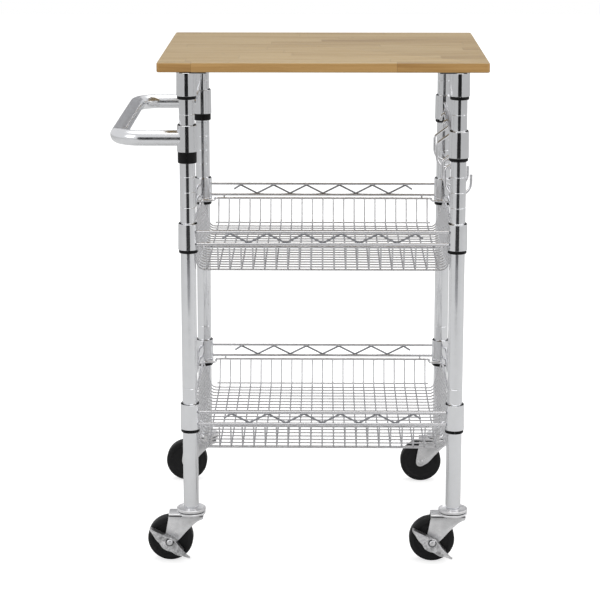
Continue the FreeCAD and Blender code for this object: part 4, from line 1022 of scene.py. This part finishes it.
def make_fork(corner):
    """A pressed fork: two swept-back legs, the plate between them, and the round crown."""
    post = POSTS[corner]
    crown_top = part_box(f"fork_{corner}")[1].z
    crown_foot = crown_top - 4.3 * MM
    sheet = 2.2 * MM
    # one leg seen from the front, measured from the post's axis and the floor
    leg = in_mm((-37.2, 80.0), (-39.5, 66.0), (-43.4, 44.0), (-43.3, 35.0), (-40.0, 30.2),
                (-34.5, 29.4), (-28.5, 32.2), (-20.5, 37.5), (-9.0, 50.5), (2.5, 62.3),
                (10.5, 69.0), (16.5, 72.2), (20.5, 74.2), (20.9, 80.0))
    smooth = [leg[0]] + eased(leg, 3)[3:-5] + [leg[-1]]
    legs = [plate(smooth, sheet, 0.5 * MM, (post.x, post.y + side, 0))
            for side in (-FORK_HALF, FORK_HALF - sheet)]
    # the crown carries the lower race
    crown = [(5.1 * MM, crown_foot), (22.3 * MM, crown_foot), (23.6 * MM, crown_foot + 0.8 * MM),
             (24.0 * MM, crown_foot + 2.0 * MM), (24.0 * MM, crown_top - 0.9 * MM),
             (23.2 * MM, crown_top - 0.1 * MM), (20.5 * MM, crown_top), (5.1 * MM, crown_top)]
    disc = turned(crown, centre=post, sides=56)
    roof = fork_roof(post, crown_top, crown_foot)
    fork = object_from(f"pressed_fork_{corner}", *joined(*legs, roof, disc))
    show(soften(fork, 32.0), f"caster_{corner}", "zinc", "caster_zinc", f"fork_{corner}")


def make_axle(corner):
    """The riveted axle, with a domed head and a washer under its far end."""
    axle = axle_at(corner)
    low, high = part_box(f"axle_{corner}")
    near, far = low.y - axle.y, high.y - axle.y
    front = near + 2.5 * MM
    profile = [(0.0, near), (2.6 * MM, near), (4.6 * MM, near + 0.6 * MM),
               (5.4 * MM, front - 0.6 * MM), (5.4 * MM, front), (4.0 * MM, front),
               (4.0 * MM, FORK_HALF), (6.5 * MM, FORK_HALF), (6.5 * MM, FORK_HALF + 1.4 * MM),
               (5.2 * MM, far - 0.5 * MM), (3.0 * MM, far), (1.6 * MM, far - 0.8 * MM),
               (0.0, far - 0.9 * MM)]
    rivet = object_from(f"axle_rivet_{corner}", *turned(profile, axle, "Y", 32))
    show(soften(rivet, 50.0), f"caster_{corner}", "rivet", "axle_steel", f"axle_{corner}")


def make_wheel(corner):
    """The moulded wheel with its mould line, and the bush that it turns on."""
    axle = axle_at(corner)
    # hub, dished web and shoulder of one side
    side = in_mm((5.0, 12.3), (8.6, 12.3), (9.4, 11.8), (10.4, 9.9), (26.0, 9.6), (28.2, 10.1),
                 (29.6, 11.4), (30.6, 11.5), (34.6, 11.5), (36.2, 11.0), (37.3, 9.8), (37.9, 7.9))
    tread = [(WHEEL_RADIUS - 0.15 * MM, 0.9 * MM), (WHEEL_RADIUS, 0.5 * MM)]
    half = side + tread
    outline = half + [(r, -w) for r, w in reversed(half)]
    wheel = object_from(f"moulded_wheel_{corner}", *turned(outline, axle, "Y", 72))
    show(soften(wheel, 50.0), f"roller_{corner}", "wheel", "wheel_rubber", f"wheel_{corner}")
    ring = in_mm((4.05, -12.7), (4.8, -12.7), (5.0, -12.5), (5.0, 12.5), (4.8, 12.7), (4.05, 12.7))
    bush = object_from(f"wheel_bush_{corner}", *turned(ring, axle, "Y", 28))
    show(soften(bush, 50.0), f"roller_{corner}", "bush", "bush_plastic", f"bush_{corner}")


def folded_edge(points, deep, thick, centre, lean):
    """A strip that follows a line of (along, across) points and stands back from the face."""
    verts, faces = [], []
    turn = Matrix.Rotation(math.radians(lean), 3, "Y")
    for x, z in points:
        for y, drop in ((0, 0), (deep, 0), (deep, thick), (0, thick)):
            verts.append(turn @ Vector((x, y, z + drop)) + Vector(centre))
    for i in range(len(points) - 1):
        a, b = i * 4, (i + 1) * 4
        faces += [(a + k, a + (k + 1) % 4, b + (k + 1) % 4, b + k) for k in range(4)]
    last = (len(points) - 1) * 4
    faces += [(0, 1, 2, 3), (last, last + 1, last + 2, last + 3)]
    return verts, faces


def make_brake_lever(corner):
    """A butterfly lever: lobed face, folded edges, a boss round the axle and a foot tab."""
    lean, thick, deep = 35.0, 2.0 * MM, 12.0 * MM
    axle = axle_at(corner)
    face_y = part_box(f"brake_lever_{corner}")[0].y
    centre = Vector((axle.x, face_y, axle.z))

    def behind(depth):
        return centre + Vector((0, depth, 0))

    upper = in_mm((-39.0, 0.0), (-26.0, 2.2), (-14.0, 4.0), (-4.0, 5.9), (4.0, 6.5), (11.0, 5.4),
                  (18.0, 2.5), (28.0, 0.2), (38.6, -1.5), (42.8, -1.6))
    lower = in_mm((42.8, -4.9), (38.0, -6.2), (32.0, -8.0), (26.0, -11.2), (20.0, -12.5),
                  (12.0, -12.6), (4.0, -15.3), (-5.0, -15.4), (-12.0, -12.1), (-22.0, -9.6),
                  (-32.0, -5.2), (-39.0, -2.4))
    face = plate(eased(upper + lower, 3), thick, 0.6 * MM, centre, lean)
    back = behind(thick - 0.3 * MM)
    walls = [folded_edge(upper[:8], deep, -1.8 * MM, back, lean),
             folded_edge(lower[2:11], deep, 1.8 * MM, back, lean)]
    boss = [(4.1 * MM, 0), (6.4 * MM, 0), (6.4 * MM, deep + thick), (4.1 * MM, deep + thick)]
    hub = turned(boss, centre, "Y", 28)
    # a raised ring round the axle, three pressed pips, and a rolled upper edge
    bead = turned(in_mm((6.0, 0.2), (6.4, -0.3), (7.0, -0.3), (7.4, 0.2)), behind(0.3 * MM), "Y", 36)
    pip = in_mm((0.9, 0.2), (1.3, -1.5), (1.9, -1.5), (2.5, 0.2))
    turn = Matrix.Rotation(math.radians(lean), 3, "Y")
    pips = [turned(pip, behind(0.3 * MM) + turn @ Vector((along, 0, across)), "Y", 20)
            for along, across in in_mm((-16.0, -3.0), (1.5, -10.6), (20.0, -6.6))]
    rolled = folded_edge([(x, z + 0.2 * MM) for x, z in upper], 1.0 * MM, -1.1 * MM,
                         behind(-0.7 * MM), lean)
    lever = object_from(f"pressed_brake_lever_{corner}",
                        *joined(face, *walls, hub, bead, rolled, *pips))
    show(soften(lever, 40.0), f"brake_{corner}", "lever", "lever_zinc", f"brake_lever_{corner}")


# --------------------------------------------------------------------- stage

def flat_card(name, corners, rgb, glow=0.0):
    """A matt card; any glow is seen by the camera only and lights nothing."""
    card = object_from(name, corners, [tuple(range(len(corners)))])
    material, tree, shader = new_material(name, **{"Roughness": 0.9})
    if glow:
        shader.inputs["Emission Color"].default_value = (1.0, 1.0, 1.0, 1.0)
        seen = add(tree, "ShaderNodeLightPath").outputs["Is Camera Ray"]
        paper = add(tree, "ShaderNodeMath", {0: seen, 1: glow}, operation="MULTIPLY")
        tree.links.new(paper.outputs[0], shader.inputs["Emission Strength"])
    place = add(tree, "ShaderNodeTexCoord").outputs["Object"]
    cloud = add(tree, "ShaderNodeTexNoise", {"Vector": place, "Scale": 2.0, "Detail": 2.0})
    deep = tuple(channel * 0.985 for channel in rgb)
    tint = add(tree, "ShaderNodeMix", {0: cloud.outputs[0], "A": rgba(rgb), "B": rgba(deep)},
               data_type="RGBA")
    tree.links.new(tint.outputs["Result"], shader.inputs["Base Color"])
    card.data.materials.append(material)
    return card


def make_cards():
    """Two lying cards and a standing one, before and behind the cart, for reflections only.

    They give the bright metal its dark core. Those behind are paler, for the handle's sake."""
    near, soft, far, tall = 2.5, 2.0, 5.4, 2.6
    spread = math.tan(math.radians(20))
    skim = 0.004

    def band(side, *lines):
        """Four corners from two (distance, height) lines across the stage."""
        return [(CART.x + way * spread * away, side * away, height)
                for (away, height), ways in zip(lines, ((-1, 1), (1, -1))) for way in ways]

    for side, deep in ((-1, linear("#161618")), (1, linear("#A6A6A9"))):
        pale = flat_card("grey_card", band(side, (near, skim), (soft, skim)), linear("#8C8C8E"))
        lying = flat_card("dark_card", band(side, (near, skim), (far, skim)), deep)
        standing = flat_card("dark_wall", band(side, (far, 0.0), (far, tall)), deep)
        for card in (pale, lying, standing):
            card.visible_camera = False
            card.visible_diffuse = False
            card.visible_shadow = False
            card.visible_transmission = False


def make_tent():
    """A white room: the camera sees plain paper, and mirror-bright pieces a greyer room."""
    world = bpy.data.worlds.new("Studio tent")
    bpy.context.scene.world = world
    world.use_nodes = True
    tree = world.node_tree
    tree.nodes.clear()
    rays = add(tree, "ShaderNodeLightPath").outputs
    tent = add(tree, "ShaderNodeBackground", {"Color": (1.0, 1.0, 1.0, 1.0), "Strength": 0.95})
    room = add(tree, "ShaderNodeBackground", {"Color": (0.99, 0.99, 1.0, 1.0), "Strength": 0.8})
    lit = add(tree, "ShaderNodeMixShader", {0: rays["Is Glossy Ray"], 1: tent.outputs[0],
                                            2: room.outputs[0]})
    paper = add(tree, "ShaderNodeBackground", {"Color": (1.0, 1.0, 1.0, 1.0), "Strength": 1.0})
    mixed = add(tree, "ShaderNodeMixShader", {0: rays["Is Camera Ray"], 1: lit.outputs[0],
                                              2: paper.outputs[0]})
    add(tree, "ShaderNodeOutputWorld", {"Surface": mixed.outputs[0]})


def make_lamps():
    """Square soft lights, aimed at the cart's middle: name, place, size and power."""
    aim_at = Vector((0, 0, 0.4))
    for name, spot, size, power in (("overhead", (0.2, 0.3, 3.0), 3.0, 42.0),
                                    ("front_left_fill", (-2.6, -2.4, 2.2), 1.8, 16.0),
                                    ("right_fill", (3.2, -0.6, 1.8), 1.6, 12.0)):
        light = bpy.data.lights.new(name, "AREA")
        light.shape = "SQUARE"
        light.size = size
        light.energy = power
        lamp = placed(name, light)
        lamp.location = Vector(spot) + CART
        aim = aim_at + CART - lamp.location
        lamp.rotation_euler = aim.to_track_quat("-Z", "Y").to_euler()


def make_camera():
    """A long lens, a little above the worktop and looking slightly down."""
    data = bpy.data.cameras.new("camera")
    data.sensor_width = 36.0
    data.lens = 125.68
    data.shift_y = -0.05
    data.clip_end = 60.0
    camera = placed("camera", data)
    camera.location = CART + Vector((0.0029, -3.5596, 1.2466))
    camera.rotation_euler = (math.radians(90 - 12.6), 0.0, math.radians(0.682))
    bpy.context.scene.camera = camera


def make_stage():
    """The floor, and what lights and sees the cart."""
    view = bpy.context.scene.view_settings
    view.view_transform = "Standard"
    view.look = "None"
    reach = 9.0
    flat_card("studio_floor", [(-reach, -reach, 0), (reach, -reach, 0), (reach, reach, 0),
                               (-reach, reach, 0)], linear("#C4C4C4"), glow=0.64)
    make_cards()
    make_tent()
    make_lamps()
    make_camera()


# ----------------------------------------------------------------- operators

class CART_OT_stage(bpy.types.Operator):
    """Make the floor, the cards, the lights and the camera"""
    bl_idname = "cart.stage"
    bl_label = "Stage"

    def execute(self, context):
        make_stage()
        return {"FINISHED"}


class CART_OT_worktop(bpy.types.Operator):
    """Make the glued-stave worktop"""
    bl_idname = "cart.worktop"
    bl_label = "Worktop"

    def execute(self, context):
        make_worktop()
        return {"FINISHED"}


class CART_OT_sockets(bpy.types.Operator):
    """Make the sockets under the worktop and their screws"""
    bl_idname = "cart.sockets"
    bl_label = "Sockets and screws"

    def execute(self, context):
        make_sockets()
        make_screws()
        return {"FINISHED"}


class CART_OT_posts(bpy.types.Operator):
    """Make the four grooved posts"""
    bl_idname = "cart.posts"
    bl_label = "Posts"

    def execute(self, context):
        make_posts()
        return {"FINISHED"}


class CART_OT_clamps(bpy.types.Operator):
    """Make the tapered collars and their split sleeves"""
    bl_idname = "cart.clamps"
    bl_label = "Collars and sleeves"

    def execute(self, context):
        make_clamps()
        return {"FINISHED"}


class CART_OT_basket_frames(bpy.types.Operator):
    """Make the rails, zigzag wires, rims and links of both baskets"""
    bl_idname = "cart.basket_frames"
    bl_label = "Basket frames"

    def execute(self, context):
        make_basket_frames()
        return {"FINISHED"}


class CART_OT_trays(bpy.types.Operator):
    """Make the wire trays of both baskets"""
    bl_idname = "cart.trays"
    bl_label = "Wire trays"

    def execute(self, context):
        make_trays()
        return {"FINISHED"}


class CART_OT_handle(bpy.types.Operator):
    """Make the bent push handle"""
    bl_idname = "cart.handle"
    bl_label = "Handle"

    def execute(self, context):
        make_handle()
        return {"FINISHED"}


class CART_OT_rack(bpy.types.Operator):
    """Make the side rack and its loose hooks"""
    bl_idname = "cart.rack"
    bl_label = "Rack and hooks"

    def execute(self, context):
        make_rack()
        make_hooks()
        return {"FINISHED"}


class CART_OT_casters(bpy.types.Operator):
    """Make the casters and the brake levers"""
    bl_idname = "cart.casters"
    bl_label = "Casters"

    def execute(self, context):
        make_caster_heads()
        for corner in CORNERS:
            make_fork(corner)
            make_axle(corner)
            make_wheel(corner)
            if corner.startswith("front"):
                make_brake_lever(corner)
        return {"FINISHED"}


OPERATORS = (CART_OT_stage, CART_OT_worktop, CART_OT_sockets, CART_OT_posts, CART_OT_clamps,
             CART_OT_basket_frames, CART_OT_trays, CART_OT_handle, CART_OT_rack, CART_OT_casters)


class CART_PT_pieces(bpy.types.Panel):
    """Lists the cart's pieces, sizes and finishes"""
    bl_idname = "CART_PT_pieces"
    bl_label = "Kitchen cart"
    bl_space_type = "VIEW_3D"
    bl_region_type = "UI"
    bl_category = "Kitchen cart"

    def draw(self, context):
        for operator in OPERATORS:
            self.layout.operator(operator.bl_idname)
        for group in (context.scene.cart_sizes, context.scene.cart_finishes):
            box = self.layout.box()
            for name in group.__annotations__:
                box.prop(group, name)


CLASSES = (CartSizes, CartFinishes, *OPERATORS, CART_PT_pieces)


def register():
    for kind in CLASSES:
        bpy.utils.register_class(kind)
    bpy.types.Scene.cart_sizes = bpy.props.PointerProperty(type=CartSizes)
    bpy.types.Scene.cart_finishes = bpy.props.PointerProperty(type=CartFinishes)


def unregister():
    del bpy.types.Scene.cart_finishes
    del bpy.types.Scene.cart_sizes
    for kind in reversed(CLASSES):
        bpy.utils.unregister_class(kind)


def main():
    register()
    for operator in OPERATORS:
        group, name = operator.bl_idname.split(".")
        getattr(getattr(bpy.ops, group), name)()


if __name__ == "__main__":
    main()
